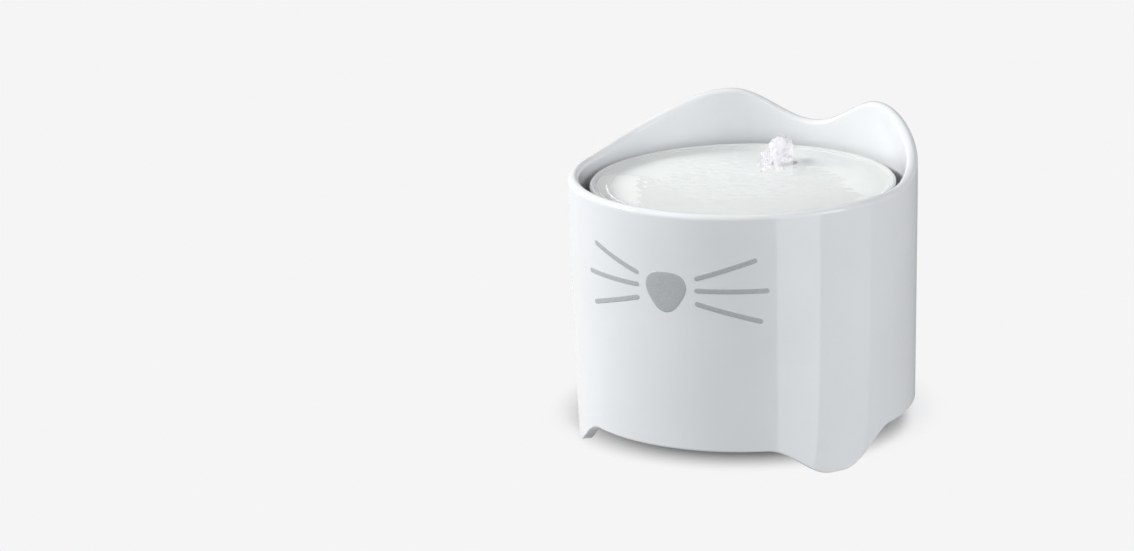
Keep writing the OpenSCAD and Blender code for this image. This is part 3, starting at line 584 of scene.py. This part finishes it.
def inside_materials():
    """The finishes of the pump, filter and inlet, by the record's slots. A clear one has its
    name, colour, IOR, roughness, and the size and depth of its grain. Any other has its name,
    its colours where the pattern is high and low, its roughness, the pattern's size and depth,
    the pattern and other inputs."""
    dull, metal = {"IOR": 1.5}, {"Metallic": 1.0}
    felt = {"Sheen Weight": 0.4, "Sheen Roughness": 0.5}
    see_through = {
        # Injection-moulded smoky polystyrene: see-through, with faint flow marks
        "case_plastic": ("smoky_polystyrene", "#C9D3DA", 1.55, (0.05, 0.14), 9, 0.02),
        # Extruded PVC hose: clear, with a slightly wavy wall
        "clear_tube": ("clear_pvc_hose", "#E6ECEC", 1.52, (0.08, 0.2), 3, 0.05),
        # Moulded silicone rubber: milky and clear, with a soft gloss
        "clear_silicone": ("moulded_clear_silicone", "#DDE2E4", 1.41, (0.2, 0.34), 2, 0.02),
    }
    solid = {
        # Moulded nitrile rubber: dark grey or black and dull, with a fine tooth
        "grey_rubber": ("moulded_grey_rubber", "#5A5B5D", "#4B4C4F", (0.6, 0.8), 0.5, 0.02,
                        None, dull),
        "black_rubber": ("moulded_black_rubber", "#2B2B2C", "#1D1D1E", (0.55, 0.75), 0.5, 0.02,
                         None, dull),
        # Injection-moulded white polypropylene: satin, with a fine spark-eroded grain
        "white_plastic": ("moulded_white_polypropylene", "#EDEDEA", "#E2E2DE", (0.32, 0.46),
                          0.6, 0.012, None, dull),
        # Needle-felted polyester fleece: matt, with fibres lying both ways
        "white_fleece": ("needled_white_fleece", "#F1F0EC", "#D9D8D2", (0.9, 1.0), 0.5, 0.25,
                         fibres, felt),
        # Crushed activated carbon: black grains of about a millimetre and a half, near black between
        # the grains as painted shade in the gaps
        "carbon": ("activated_carbon_granules", "#3C3C3E", "#0E0E10", (0.5, 0.85), 1.5, 0.6,
                   cells, dull),
        # Open-cell polyurethane foam: dark grey, with a paler web between its pores; the pores'
        # darker colour is painted shade in the holes
        "filter_foam": ("open_cell_foam", "#25282B", "#5E646A", (0.8, 0.98), 1.1, 0.5,
                        cells, dull),
        # Injection-moulded black ABS: satin with a fine spark-eroded grain
        "pump_plastic": ("moulded_black_abs", "#2E2F32", "#222326", (0.3, 0.45), 0.6, 0.015,
                         None, dull),
        # Epoxy glass board with green solder mask: satin over a woven base
        "board": ("green_solder_mask", "#1E6B41", "#175535", (0.25, 0.4), 1.2, 0.01,
                  None, dull),
        # Zinc-plated pressed steel: grey metal with drawn lines
        "yoke_steel": ("zinc_plated_steel", "#B9BCBF", "#9A9DA1", (0.3, 0.45), 0.8, 0.01,
                       brushed, metal),
        # Enamelled copper wire wound in layers: one ridge for each turn, dark brown in the grooves
        # between turns as painted shade
        "copper_winding": ("enamelled_copper_wire", "#C0713E", "#5E2F17", (0.25, 0.4), 0.6, 0.12,
                           windings, metal),
        # Ground stainless steel: bright metal with fine rings round it
        "steel_pin": ("ground_stainless_steel", "#D2D4D6", "#B4B7BA", (0.16, 0.28), 0.4, 0.004,
                      brushed, metal),
        # Sintered ferrite: charcoal grey and stony, with fine pits
        "ferrite": ("sintered_ferrite", "#3B3B3E", "#242427", (0.5, 0.7), 0.7, 0.03,
                    None, dull),
        # Injection-moulded light grey ABS: satin with a fine spark-eroded grain
        "dial_plastic": ("moulded_grey_abs", "#BFC2C4", "#AEB1B4", (0.3, 0.44), 0.6, 0.012,
                         None, dull),
        # Extruded soft PVC sheath: nearly black and satin
        "lead_sheath": ("extruded_black_pvc", "#2A2A2C", "#1C1C1E", (0.38, 0.5), 1.2, 0.01,
                        None, dull),
        # Injection-moulded black nylon: satin, with a fine spark-eroded grain
        "socket_plastic": ("moulded_black_nylon", "#2C2D2F", "#1F2022", (0.34, 0.5), 0.6, 0.015,
                           None, dull),
        # Nickel-plated brass: warm bright metal with turned lines
        "contact_metal": ("nickel_plated_brass", "#CFCBC2", "#B1ADA5", (0.14, 0.26), 0.5, 0.005,
                          brushed, metal),
    }
    made = {slot: clear(name, linear(tint), *rest)
            for slot, (name, tint, *rest) in see_through.items()}
    made.update({slot: finish(name, linear(high), linear(low), *rest, **values)
                 for slot, (name, high, low, *rest, values) in solid.items()})
    return made


# ---------- pieces ----------

def tray_heights(t):
    """Heights that the tray and the water share: the tray's edge, floor and mound."""
    top = TRAY_HIGH.z
    return top, top - t.dish_depth, top - t.mound_drop


def tray_surface(t, x, y):
    """Height of the tray's top at points: the dish's side is an ease of the distance from the
    vessel's axis, and the mound is an ease of the distance from the spout."""
    top, floor, mound = tray_heights(t)
    dish = TRAY_HIGH.x - t.edge
    side = ease(floor, top - t.edge / 4, (np.hypot(x, y) - dish + t.slope) / (1.15 * t.slope))
    rise = ease(0, mound - floor, (t.mound_radius - np.hypot(x, y - SPOUT_Y))
                / (t.mound_radius - t.hole_radius))
    return side + rise


def nested_circles(inner, outer, steps, turns):
    """Circles whose middle and radius go evenly from the inner one, round the spout, to the
    outer one, round the vessel's axis: x = r sin a, y = c - r cos a."""
    w = np.linspace(0, 1, steps)[None]
    a = np.linspace(0, 2 * np.pi, turns + 1)[:, None]
    r = inner + (outer - inner) * w
    return r * np.sin(a), SPOUT_Y * (1 - w) - r * np.cos(a)


class FOUNTAIN_OT_vessel(bpy.types.Operator):
    """Builds the glazed vessel with its ears and feet, and the three lugs inside it"""
    bl_idname = "fountain.vessel"
    bl_label = "Vessel"

    def execute(self, context):
        v, c = context.scene.fountain_vessel, context.scene.fountain_colours
        white = glaze("glossy_white_glaze", c.glaze, c.bisque)
        vessel = piece("vessel_body", [vessel_skin(v)], white, ROOT, ["vessel"])
        inlet_z = (SOCKET_LOW.z + SOCKET_HIGH.z) / 2
        gap, inner = 0.5 * MM, NUT_HIGH.y
        flange, thread = (SOCKET_HIGH.x - SOCKET_LOW.x) / 2 + gap, 5.1 * MM
        inside, outside = inner - 5 * MM, v.rim_radius + MM
        recess = [(0, inside), (flange, inside), (flange, inner), (thread, inner),
                  (thread, SEAL_LOW.y), (flange, SEAL_LOW.y), (flange, outside), (0, outside)]
        cut(vessel, [turned(recess, 64, (0, 0, inlet_z), "Y")], "inlet_recess")
        piece("tray_lugs", [self.lug(v, a) for a in np.radians([-120, 0, 120])], white, ROOT,
              ["vessel"])
        return {"FINISHED"}

    def lug(self, v, a):
        """A rounded bar from inside the wall inwards: its ring is a softened rectangle whose
        depth falls evenly from the wall to the nose, and which shrinks to a point at both ends."""
        width, reach, deep, nose = 14 * MM, 16 * MM, 16 * MM, 4 * MM
        sunk, gap = 0.6 * MM, 0.3 * MM
        top = TRAY_LOW.z - gap
        wall = outer_radius(v, top) - v.wall
        s = np.concatenate([[0], np.linspace(0, 1, 24), [1]])[:, None]
        inset = np.concatenate([[1], np.zeros(20), [0.03, 0.12, 0.3, 0.6], [1]])[:, None]
        corner = softened([(0, 1), (1, 1), (1, 0), (0, 0), (-1, 0), (-1, 1), (0, 1)], 0.12, 6)
        r = wall + sunk - (reach + sunk) * s
        depth = nose + (deep - nose) * (1 - s)
        side = corner[None, :, 0] * (width / 2) * (1 - inset)
        z = top - depth * (0.5 - (corner[None, :, 1] - 0.5) * (1 - inset))
        x, y, z = np.broadcast_arrays(side, -r, z)
        turn = np.array([[np.cos(a), np.sin(a), 0], [-np.sin(a), np.cos(a), 0], [0, 0, 1]])
        return np.stack([x, y, z], -1) @ turn


class FOUNTAIN_OT_prints(bpy.types.Operator):
    """Prints the nose and the six whiskers on the vessel's front"""
    bl_idname = "fountain.prints"
    bl_label = "Nose and whiskers"

    def execute(self, context):
        v, c = context.scene.fountain_vessel, context.scene.fountain_colours
        # Screen-printed ceramic colour fired under thin glaze: even grey with a fine screen
        # grain, a little less glossy than the glaze round it
        ink = finish("fired_grey_print", [1.04 * p for p in c.pigment],
                     [0.96 * p for p in c.pigment], (0.22, 0.34), 0.9, 0.012, None, 4, IOR=1.5)
        piece("nose", [self.nose(v)], ink, ROOT, ["nose_print"])
        # Each whisker's height near the nose in millimetres, and its far end's angle and height
        ends = [(103.5, 29.5, 112.8), (97.3, 33.2, 97.5), (90.6, 31.0, 82.2)]
        strokes = [self.whisker(v, side, *end) for side in (-1, 1) for end in ends]
        piece("whiskers", strokes, ink, ROOT, ["whisker_prints"])
        return {"FINISHED"}

    def on_wall(self, v, s, z, lift):
        """Points of a flat drawing wrapped on the wall: s along it, z up, lift outwards."""
        r = outer_radius(v, z)
        return around(s / r, r + lift, z)

    def layer(self, w):
        """Lift of the printed layer from the middle (0) to its edge (1): above, its thickness
        times the square root of 1 - w^10, and below, an even depth in the wall."""
        thick, sunk = 0.2 * MM, 0.08 * MM
        return np.concatenate([thick * np.sqrt(np.clip(1 - w ** 10, 0, 1)), 0 * w - sunk])

    def nose(self, v):
        """A rounded triangle on its tip: the outline's radius at an angle t from straight down
        is R (1 - 0.02 cos t - 0.024 cos 2t + 0.091 cos 3t)."""
        size, middle = 10.45 * MM, 96.0 * MM
        t = np.linspace(0, 2 * np.pi, 121)[:, None]
        w = np.sin(np.linspace(0, np.pi / 2, 14))
        both = np.concatenate([w, w[::-1]])[None]
        r = size * (1 - 0.02 * np.cos(t) - 0.024 * np.cos(2 * t) + 0.091 * np.cos(3 * t)) * both
        return self.on_wall(v, r * np.sin(t), middle - r * np.cos(t), self.layer(w)[None])

    def whisker(self, v, side, z0, degrees, z1):
        """A stroke with round ends: across its middle line it reaches half a width, times the
        square root of 1 - e^2 at the ends, where e goes from 0 to 1 over the round end."""
        half, near = 1.25 * MM, math.radians(10.8)
        reach = outer_radius(v, z0 * MM)
        s0, s1 = reach * near, reach * math.radians(degrees)
        span = math.hypot(s1 - s0, (z1 - z0) * MM)
        cap = np.sin(np.linspace(-np.pi / 2, 0, 9))
        along = np.concatenate([cap * half, np.linspace(0, span, 26)[1:-1], span - cap[::-1] * half])
        e = np.maximum(np.maximum(-along, along - span), 0) / half
        width = half * np.sqrt(np.clip(1 - e ** 2, 0, 1))[:, None]
        across = np.sin(np.linspace(-np.pi / 2, np.pi / 2, 11))
        both = np.concatenate([across, across[::-1], across[:1]])[None]
        lift = self.layer(np.abs(across))
        lift = np.append(lift, lift[0])
        ds, dz = (s1 - s0) / span, (z1 - z0) * MM / span
        s = s0 + ds * along[:, None] - dz * width * both
        z = z0 * MM + dz * along[:, None] + ds * width * both
        return self.on_wall(v, side * s, z, np.broadcast_to(lift[None], s.shape))


class FOUNTAIN_OT_tray(bpy.types.Operator):
    """Builds the tray with its dish, mound and hole"""
    bl_idname = "fountain.tray"
    bl_label = "Tray"

    def execute(self, context):
        s = context.scene
        c, level = s.fountain_colours, TRAY_HIGH.z - s.fountain_water.level
        # The tray's glaze colour carries painted shade: it is darker than the vessel's over the whole
        # tray
        white = glaze("glossy_white_tray_glaze_darkened_as_shade", c.tray_glaze, c.bisque, level)
        piece("tray_body", [self.skin(s.fountain_tray)], white, "tray", ["tray"])
        return {"FINISHED"}

    def skin(self, t):
        """One closed ring of circles: up the hole's wall, over its lip, out over mound and dish
        on nested circles, over the edge's half circle, down the outside and back under."""
        top, _, mound = tray_heights(t)
        turns, bottom, edge, lip = 288, TRAY_LOW.z, t.edge / 2, 0.6 * MM
        radius, dish = TRAY_HIGH.x, TRAY_HIGH.x - t.edge
        heel = radius - t.slope
        flat = heel - 4 * MM
        a = np.linspace(0, 2 * np.pi, turns + 1)[:, None]
        q = np.linspace(0, np.pi / 2, 7)[None]
        x, y = nested_circles(t.hole_radius + lip, dish, 110, turns)
        surface = np.stack([x, y, tray_surface(t, x, y)], -1)
        lip_r, lip_z = t.hole_radius + lip - lip * np.cos(q), mound - lip + lip * np.sin(q)
        round_hole = around(a, np.concatenate([[[t.hole_radius] * 5], lip_r], 1), np.concatenate([
            np.linspace(bottom, mound - lip, 6)[None, :-1], lip_z], 1)) + [0, SPOUT_Y, 0]
        turn = np.linspace(np.pi * 5 / 6, 0, 12)[None]
        over = around(a, radius - edge + edge * np.cos(turn), top - edge + edge * np.sin(turn))
        side = softened([(radius, top - edge), (radius, top - 3 * MM),
                         (radius - 1.5 * MM, top - 5 * MM), (heel - MM, bottom),
                         (flat, bottom)], 1.2 * MM).T
        outside = around(a, side[0][None], side[1][None])
        under_x, under_y = nested_circles(t.hole_radius, flat, 24, turns)
        under = np.stack([under_x, under_y, bottom + 0 * under_x], -1)[:, ::-1]
        return np.concatenate([round_hole, surface, over, outside, under], 1)


class FOUNTAIN_OT_water(bpy.types.Operator):
    """Fills the tray with water, and lets the jet rise from the spout and fall in front of it"""
    bl_idname = "fountain.water"
    bl_label = "Water"

    def execute(self, context):
        s = context.scene
        t, w, c = s.fountain_tray, s.fountain_water, s.fountain_colours
        # Clean water: a pool that takes the glaze's colour, and a jet that bends the light
        pool = clear("still_water", c.water, 1.33, (0.0, 0.03), 3.5, 0.05, 0.97)
        jet = clear("running_water", linear("#FAF9FC"), 1.33, (0.0, 0.03), 2.2, 0.06, 0.88, 0.7)
        piece("pool", [self.pool(t, w)], pool, "tray")
        piece("jet", [self.jet(w), *self.strands(w), *self.drops(w)], jet, "nozzle")
        return {"FINISHED"}

    def ripples(self, w, x, y):
        """Rings that run forwards from where the jet lands, over a cross swell. They are
        strongest some way in front of it and die away like e^(-d^2) nearer, further and to
        both sides."""
        point = np.stack([x, y, 0 * x], -1)
        away = np.hypot(x, y - (SPOUT_Y - w.jet_throw))
        ring = np.sin(2 * np.pi * away / w.ripple_length + 1.8 * swell(point, 16 * MM, 5))
        cross, slow = swell(point, 6 * MM, 8), swell(point, 13 * MM, 9)
        crest, spread, landing = 42 * MM, 28 * MM, 12 * MM
        near = bell(away - crest, spread) + 0.8 * bell(away, landing)
        front = ease(0.15, 1, 0.5 - (y - SPOUT_Y + 14 * MM) / (30 * MM))
        middle = bell(x + 2 * MM, 44 * MM)
        return (w.ripple_height * near * front * middle * (0.6 * ring + 0.7 * cross)
                + 0.006 * MM * cross + 0.02 * MM * slow)

    def pool(self, t, w):
        """The rippled surface on nested circles from inside the mound to inside the dish's side,
        drawn down by a bell curve where it runs into the hole, and below it a bottom just inside
        the tray's glaze, so that water meets glaze."""
        level, sink, thin = TRAY_HIGH.z - w.level, 0.12 * MM, 0.02 * MM
        ring, shore = t.hole_radius + 0.8 * MM, TRAY_HIGH.x - t.edge - 0.9 * MM
        x, y = nested_circles(ring, shore, 172, 300)
        over_mound = t.mound_drop - w.level - 0.3 * MM
        drawn = over_mound * bell(np.hypot(x, y - SPOUT_Y) - ring, 4 * MM)
        top = level - drawn + self.ripples(w, x, y)
        bottom = np.minimum(tray_surface(t, x, y) - sink, level - thin)
        top[:, [0, -1]] = bottom[:, [0, -1]]
        upper = np.stack([x, y, top], -1)
        lower = np.stack([x, y, bottom], -1)[:, ::-4]
        return np.concatenate([upper, lower, upper[:, :1]], 1)

    def arc(self, w, throw, height, side):
        """A thrown path from the nozzle to just under the pool's surface: forwards by the throw
        times t^1.15, sideways by the side, and up by 4 h t (1 - t)."""
        t, start, sunk = np.linspace(0, 1, 48), NOZZLE_HIGH.z, 0.6 * MM
        fall = (TRAY_HIGH.z - w.level - sunk - start) * t
        return np.stack([side * t, SPOUT_Y - throw * t ** 1.15,
                         start + fall + 4 * height * t * (1 - t)], -1)

    def jet(self, w):
        """A fat tube along a smooth route up from the nozzle, over and down into the pool. Its
        radius swells with ridges that turn slowly along the flow, sin(9 a + 2 s) and
        sin(17 a - 3 s) for an angle a and a share s of the way, and above the nozzle its skin
        moves in and out by a coarse and a fine noise. Each stop of the route is
        how far it lies in front of the spout and above the nozzle, in parts of the throw and
        the height, and its radius in millimetres."""
        stops = np.array([(0, -0.5, 3.3), (0, 0, 3.7), (0, 0.42, 4.2), (0.05, 0.78, 5),
                          (0.22, 1, 5.6), (0.42, 0.97, 5.4), (0.58, 0.68, 4.1), (0.66, 0.34, 2.6),
                          (0.72, 0, 1.5), (0.78, -0.5, 1)])
        ahead, up, radius = smooth_route(stops, 12).T
        sides, start = 72, NOZZLE_HIGH.z
        path = np.stack([0 * ahead, SPOUT_Y - w.jet_throw * ahead, start + w.jet_height * up], -1)
        a = np.linspace(0, 2 * np.pi, sides + 1)[None]
        flow = np.linspace(0, 2 * np.pi, len(path))[:, None]
        ridges = 1 + 0.035 * np.sin(9 * a + 2 * flow) + 0.02 * np.sin(17 * a - 3 * flow)
        skin = tube(path, radius[:, None] * MM * ridges, sides)
        centre = np.concatenate([path[:1], path, path[-1:]])[:, None]
        free = ease(0, 1, (skin[..., 2:] - start) / (3 * MM))
        lumps = 0.085 * swell(skin, 6.5 * MM, 21) + 0.05 * swell(skin, 2.4 * MM, 22)
        return centre + (skin - centre) * (1 + free * lumps[..., None])

    def strands(self, w):
        """Thin threads of water on their own thrown paths beside the jet, beaded as they fall.
        Each has its throw, height, side and radius in millimetres, and starts in the jet."""
        grids, hidden = [], 6
        for throw, height, side, radius in [(13, 7.8, -5.6, 0.4), (14, 7.4, -3.8, 0.5),
                                            (15, 7, -1.6, 0.45), (12, 8.4, -7, 0.3),
                                            (19, 6.2, -6, 0.3)]:
            path = self.arc(w, throw * MM, height * MM, side * MM)[hidden:]
            t = np.linspace(0, 1, len(path))[:, None]
            beads = 1 + 0.45 * np.sin(26 * t + throw) * t
            grids.append(tube(path, radius * MM * beads * (1 + 0.5 * t), 14))
        return grids

    def bead(self, centre, size, flat):
        """A ball of water, flattened in height by a factor."""
        t = np.linspace(0, np.pi, 13)
        return turned(np.stack([size * np.sin(t), flat * size * np.cos(t)], -1), 16, centre)

    def drops(self, w):
        """Beads of water: some that fly beside the jet on thrown paths, and some that ride on
        the pool round the landing."""
        random = np.random.default_rng(4)
        grids = []
        for _ in range(12):
            throw, side = random.uniform(10, 22) * MM, random.uniform(-8, 3) * MM
            path = self.arc(w, throw, random.uniform(6, 9) * MM, side)
            centre = path[int(random.uniform(0.55, 0.95) * len(path))]
            grids.append(self.bead(centre, random.uniform(0.3, 0.85) * MM, 1))
        for _ in range(8):
            a, far = random.uniform(-1.7, 1.7), random.uniform(3, 15) * MM
            size = random.uniform(0.4, 0.7) * MM
            grids.append(self.bead((far * math.sin(a), SPOUT_Y - w.jet_throw - far * math.cos(a),
                                    TRAY_HIGH.z - w.level + 0.3 * size), size, 0.7))
        return grids


class FOUNTAIN_OT_spout(bpy.types.Operator):
    """Builds the nozzle that stands in the tray's hole"""
    bl_idname = "fountain.spout"
    bl_label = "Spout"

    def execute(self, context):
        # Injection-moulded white polypropylene: satin, a little see-through at its thin lip
        white = finish("moulded_nozzle_polypropylene", linear("#F4F4F2"), linear("#E9E9E6"),
                       (0.22, 0.34), 0.6, 0.01, IOR=1.5)
        # Radii and heights in millimetres
        low, high = NOZZLE_LOW.z / MM, NOZZLE_HIGH.z / MM
        bore, stem, wide = 2.6, 4, (NOZZLE_HIGH.x - NOZZLE_LOW.x) / 2 / MM
        collar = low + 12
        line = [(bore, low + 4), (bore, low), (stem, low), (stem, collar), (wide, collar),
                (wide, collar + 2), (4.1, collar + 3), (4.3, high - 0.7), (4.2, high), (3.6, high),
                (bore, high - 3), (bore, low + 4)]
        grid = turned(softened(line, 0.35) * MM, 72, (0, SPOUT_Y, 0))
        piece("spout_nozzle", [grid], white, "nozzle", ["nozzle"])
        return {"FINISHED"}


class FOUNTAIN_OT_inside(bpy.types.Operator):
    """Finishes the pump, the filter and the inlet, and builds their soft parts"""
    bl_idname = "fountain.inside"
    bl_label = "Pump, filter and inlet"

    def execute(self, context):
        finishes = inside_materials()
        slots = {part["node"]: part["material_slot"] for part in frame["record"]["subparts"]}
        for node, obj in frame["nodes"].items():
            if slots[node] in finishes:
                obj.data.materials.clear()
                obj.data.materials.append(finishes[slots[node]])
        # The radius of each block's edges, and the height and size of its bumps
        for node, radius, bumps, size in [("foam_block", 1.2, 0.18, 4),
                                          ("carbon_granules", 0.5, 0.2, 2)]:
            block = rounded_block(*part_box(node), 0.25 * MM, radius * MM, 30, bumps * MM, size * MM)
            piece(node + "_form", block, finishes[slots[node]], body_of(frame["nodes"][node])[0],
                  [node])
        self.fleece(finishes["white_fleece"])
        self.lead(finishes["lead_sheath"])
        return {"FINISHED"}

    def fleece(self, material):
        """Two felted pads, one at each face of the cartridge, with soft round edges"""
        low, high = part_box("cartridge_fleece")
        thick, pads = 2 * MM, []
        for y0, y1, seed in [(low.y, low.y + thick, 2), (high.y - thick, high.y, 3)]:
            pads += rounded_block((low.x, y0, low.z), (high.x, y1, high.z), 0.15 * MM, 0.8 * MM,
                                  26, 0.12 * MM, 5 * MM, seed)
        piece("fleece_pads", pads, material, "cartridge", ["cartridge_fleece"])

    def lead(self, material):
        """The pump's lead on the same route as its solid, from the pump's side over the
        case's back edge to the inlet"""
        route = [(14, 30, 42), (17, 30, 42), (20, 30, 42), (23, 31, 43), (25, 35, 47), (25.5, 44, 55),
                 (24, 54, 64), (22, 62.1, 72), (20, 69.1, 76), (16, 75.1, 80), (8, 75.7, 85),
                 (2, 76, 89), (0, 76, 92), (0, 76, 95), (0, 76, 100)]
        path = smooth_route(np.array(route) * MM, 10)
        piece("pump_lead_sheath", [tube(path, 1.75 * MM, 20)], material, ROOT,
              ["pump_lead"])


# ---------- stage ----------

class FOUNTAIN_OT_stage(bpy.types.Operator):
    """Builds the floor, the backdrop, the lights and the camera"""
    bl_idname = "fountain.stage"
    bl_label = "Stage"

    def execute(self, context):
        s, c = context.scene.fountain_stage, context.scene.fountain_colours
        context.scene.view_settings.view_transform = "Standard"
        self.camera(context, s)
        self.room(context, s, c)
        floor = self.floor(c)
        lamps = [self.soft_box("key_light", -66, 29, 0.6, 0.35, s.key_power),
                 self.soft_box("brow_light", -30, 42, 0.9, 0.9, s.brow_power),
                 self.soft_box("fill_light", 72, 24, 1.5, 1.0, s.fill_power)]
        above = self.soft_box("floor_light", 46, 50, 0.6, 0.6, s.floor_power)
        self.light_only([above], floor, "INCLUDE")
        self.light_only(lamps, floor, "EXCLUDE")
        self.cards()
        return {"FINISHED"}

    def camera(self, context, s):
        """A camera that looks along a line through the aim, turned clockwise by the roll."""
        back = towards(s.azimuth, s.elevation)
        right = Vector((math.cos(s.azimuth), math.sin(s.azimuth), 0))
        up = back.cross(right)
        turned_up = up * math.cos(s.roll) + right * math.sin(s.roll)
        turned_right = right * math.cos(s.roll) - up * math.sin(s.roll)
        data = bpy.data.cameras.new("camera")
        data.sensor_width, data.lens = 36, s.lens
        data.shift_x, data.shift_y = s.shift_x, s.shift_y
        camera = placed("camera", data)
        place = Vector((0, 0, s.aim_height)) + back * s.distance
        camera.matrix_world = Matrix.Translation(place) @ Matrix(
            (turned_right, turned_up, back)).transposed().to_4x4()
        context.scene.camera = camera

    def eye(self, tree):
        """1 for the rays that show the backdrop: the camera's, mirrored and refracted ones, and
        0 for those that have spread from a matt surface on the way, as through water."""
        path = add(tree, "LightPath").node.outputs
        seen = path["Is Camera Ray"]
        for ray in ("Is Glossy Ray", "Is Transmission Ray"):
            seen = add(tree, "Math", {0: seen, 1: path[ray]}, operation="MAXIMUM")
        return add(tree, "Math", {0: seen, 1: path["Diffuse Depth"]}, operation="SUBTRACT",
                   use_clamp=True)

    def room(self, context, s, c):
        """An even pale room: its light for the object, and the backdrop's colour for the eye."""
        world = bpy.data.worlds.new("room")
        tree = emptied(world)
        lamp = add(tree, "Background", {"Color": opaque(linear("#F6F9FF")),
                                        "Strength": s.room_light})
        seen = add(tree, "Background", {"Color": opaque(c.backdrop), "Strength": 1.0})
        mixed = add(tree, "MixShader", {0: self.eye(tree), 1: lamp, 2: seen})
        add(tree, "OutputWorld", {"Surface": mixed})
        context.scene.world = world

    def floor(self, c):
        """A disc that takes the shadow near the object and shows the backdrop's colour far away."""
        centre, clean, gone, far = (13 * MM, -29 * MM, 0), 66 * MM, 106 * MM, 8
        material, tree, coords = start("matt_white_floor")
        away = add(tree, "VectorMath", {0: add(tree, "Mapping", {
            "Vector": coords, "Location": centre})}, "Value", operation="LENGTH")
        fade = add(tree, "MapRange", {"Value": away, "From Min": clean, "From Max": gone},
                   interpolation_type="SMOOTHSTEP")
        shown = add(tree, "Math", {0: fade, 1: self.eye(tree)}, operation="MULTIPLY")
        bounced = add(tree, "LightPath", output="Is Diffuse Ray")
        near = add(tree, "BsdfDiffuse", {"Color": add(tree, "Mix", {
            0: bounced, 6: opaque(c.floor), 7: opaque(c.bounce)}, 2, data_type="RGBA")})
        backdrop = add(tree, "Emission", {"Color": opaque(c.backdrop), "Strength": 1.0})
        mixed = add(tree, "MixShader", {0: shown, 1: near, 2: backdrop})
        add(tree, "OutputMaterial", {"Surface": mixed})
        r, a = np.linspace(0, far, 9)[None], np.linspace(0, 2 * np.pi, 97)[:, None]
        floor = placed("floor", mesh_of("floor", [around(a, r, 0 * r)]))
        floor.data.materials.append(material)
        return floor

    def light_only(self, lamps, thing, state):
        """Lets lamps reach one thing alone, or everything but it."""
        chosen = bpy.data.collections.new("floor_" + state.lower() + "d")
        chosen.objects.link(thing)
        chosen.collection_objects[0].light_linking.link_state = state
        for lamp in lamps:
            lamp.light_linking.receiver_collection = chosen

    def soft_box(self, name, degrees, above, width, height, power):
        """A soft box 1.8 m from the vessel's middle, at an angle from the front towards +X and
        an angle above the horizon."""
        light = bpy.data.lights.new(name, "AREA")
        light.shape, light.size, light.size_y, light.energy = "RECTANGLE", width, height, power
        lamp = placed(name, light)
        out, aim, away = towards(math.radians(degrees), math.radians(above)), (0, 0, 0.11), 1.8
        lamp.location = Vector(aim) + away * out
        lamp.rotation_euler = (-out).to_track_quat("-Z", "Y").to_euler()
        return lamp

    def cards(self):
        """A white and a grey card that only glossy surfaces mirror, as they stand round a set:
        each lies on the floor and stands up behind. Its first two angles from the front towards
        +X are where it starts beside the vessel, and the other two where it stands up."""
        near_r, far_r, low, tall = 0.09, 0.42, 0.001, 0.6
        for name, near, far, glow in [("white_card", (36, 49), (45, 72), 2.3),
                                      ("grey_card", (68, 120), (110, 215), 0.4)]:
            material = bpy.data.materials.new(name)
            tree = emptied(material)
            add(tree, "OutputMaterial", {"Surface": add(tree, "Emission", {"Strength": glow})})
            a = np.radians(np.stack([np.linspace(*ends, 25) for ends in (near, far, far)], 1))
            grid = around(a, np.array([[near_r, far_r, far_r]]), np.array([[low, low, tall]]))
            card = placed(name, mesh_of(name, [grid]))
            card.data.materials.append(material)
            for ray in ("camera", "diffuse", "transmission", "volume_scatter", "shadow"):
                setattr(card, "visible_" + ray, False)


OPERATORS = [FOUNTAIN_OT_stage, FOUNTAIN_OT_vessel, FOUNTAIN_OT_prints, FOUNTAIN_OT_tray,
             FOUNTAIN_OT_spout, FOUNTAIN_OT_water, FOUNTAIN_OT_inside]


class FOUNTAIN_PT_panel(bpy.types.Panel):
    """Lists the fountain's pieces and its sizes in the 3D view's sidebar"""
    bl_idname = "FOUNTAIN_PT_panel"
    bl_label = "Pet water fountain"
    bl_space_type = "VIEW_3D"
    bl_region_type = "UI"
    bl_category = "Fountain"

    def draw(self, context):
        for operator in OPERATORS:
            self.layout.operator(operator.bl_idname)
        for name, group in GROUPS.items():
            box = self.layout.box()
            for key in group.__annotations__:
                box.prop(getattr(context.scene, name), key)


def register():
    for group in GROUPS.values():
        bpy.utils.register_class(group)
    for name, group in GROUPS.items():
        setattr(bpy.types.Scene, name, PointerProperty(type=group))
    for kind in [*OPERATORS, FOUNTAIN_PT_panel]:
        bpy.utils.register_class(kind)


def unregister():
    for kind in [FOUNTAIN_PT_panel, *OPERATORS]:
        bpy.utils.unregister_class(kind)
    for name, group in GROUPS.items():
        delattr(bpy.types.Scene, name)
        bpy.utils.unregister_class(group)


def main():
    register()
    for operator in OPERATORS:
        family, name = operator.bl_idname.split(".")
        getattr(getattr(bpy.ops, family), name)()


if __name__ == "__main__":
    main()
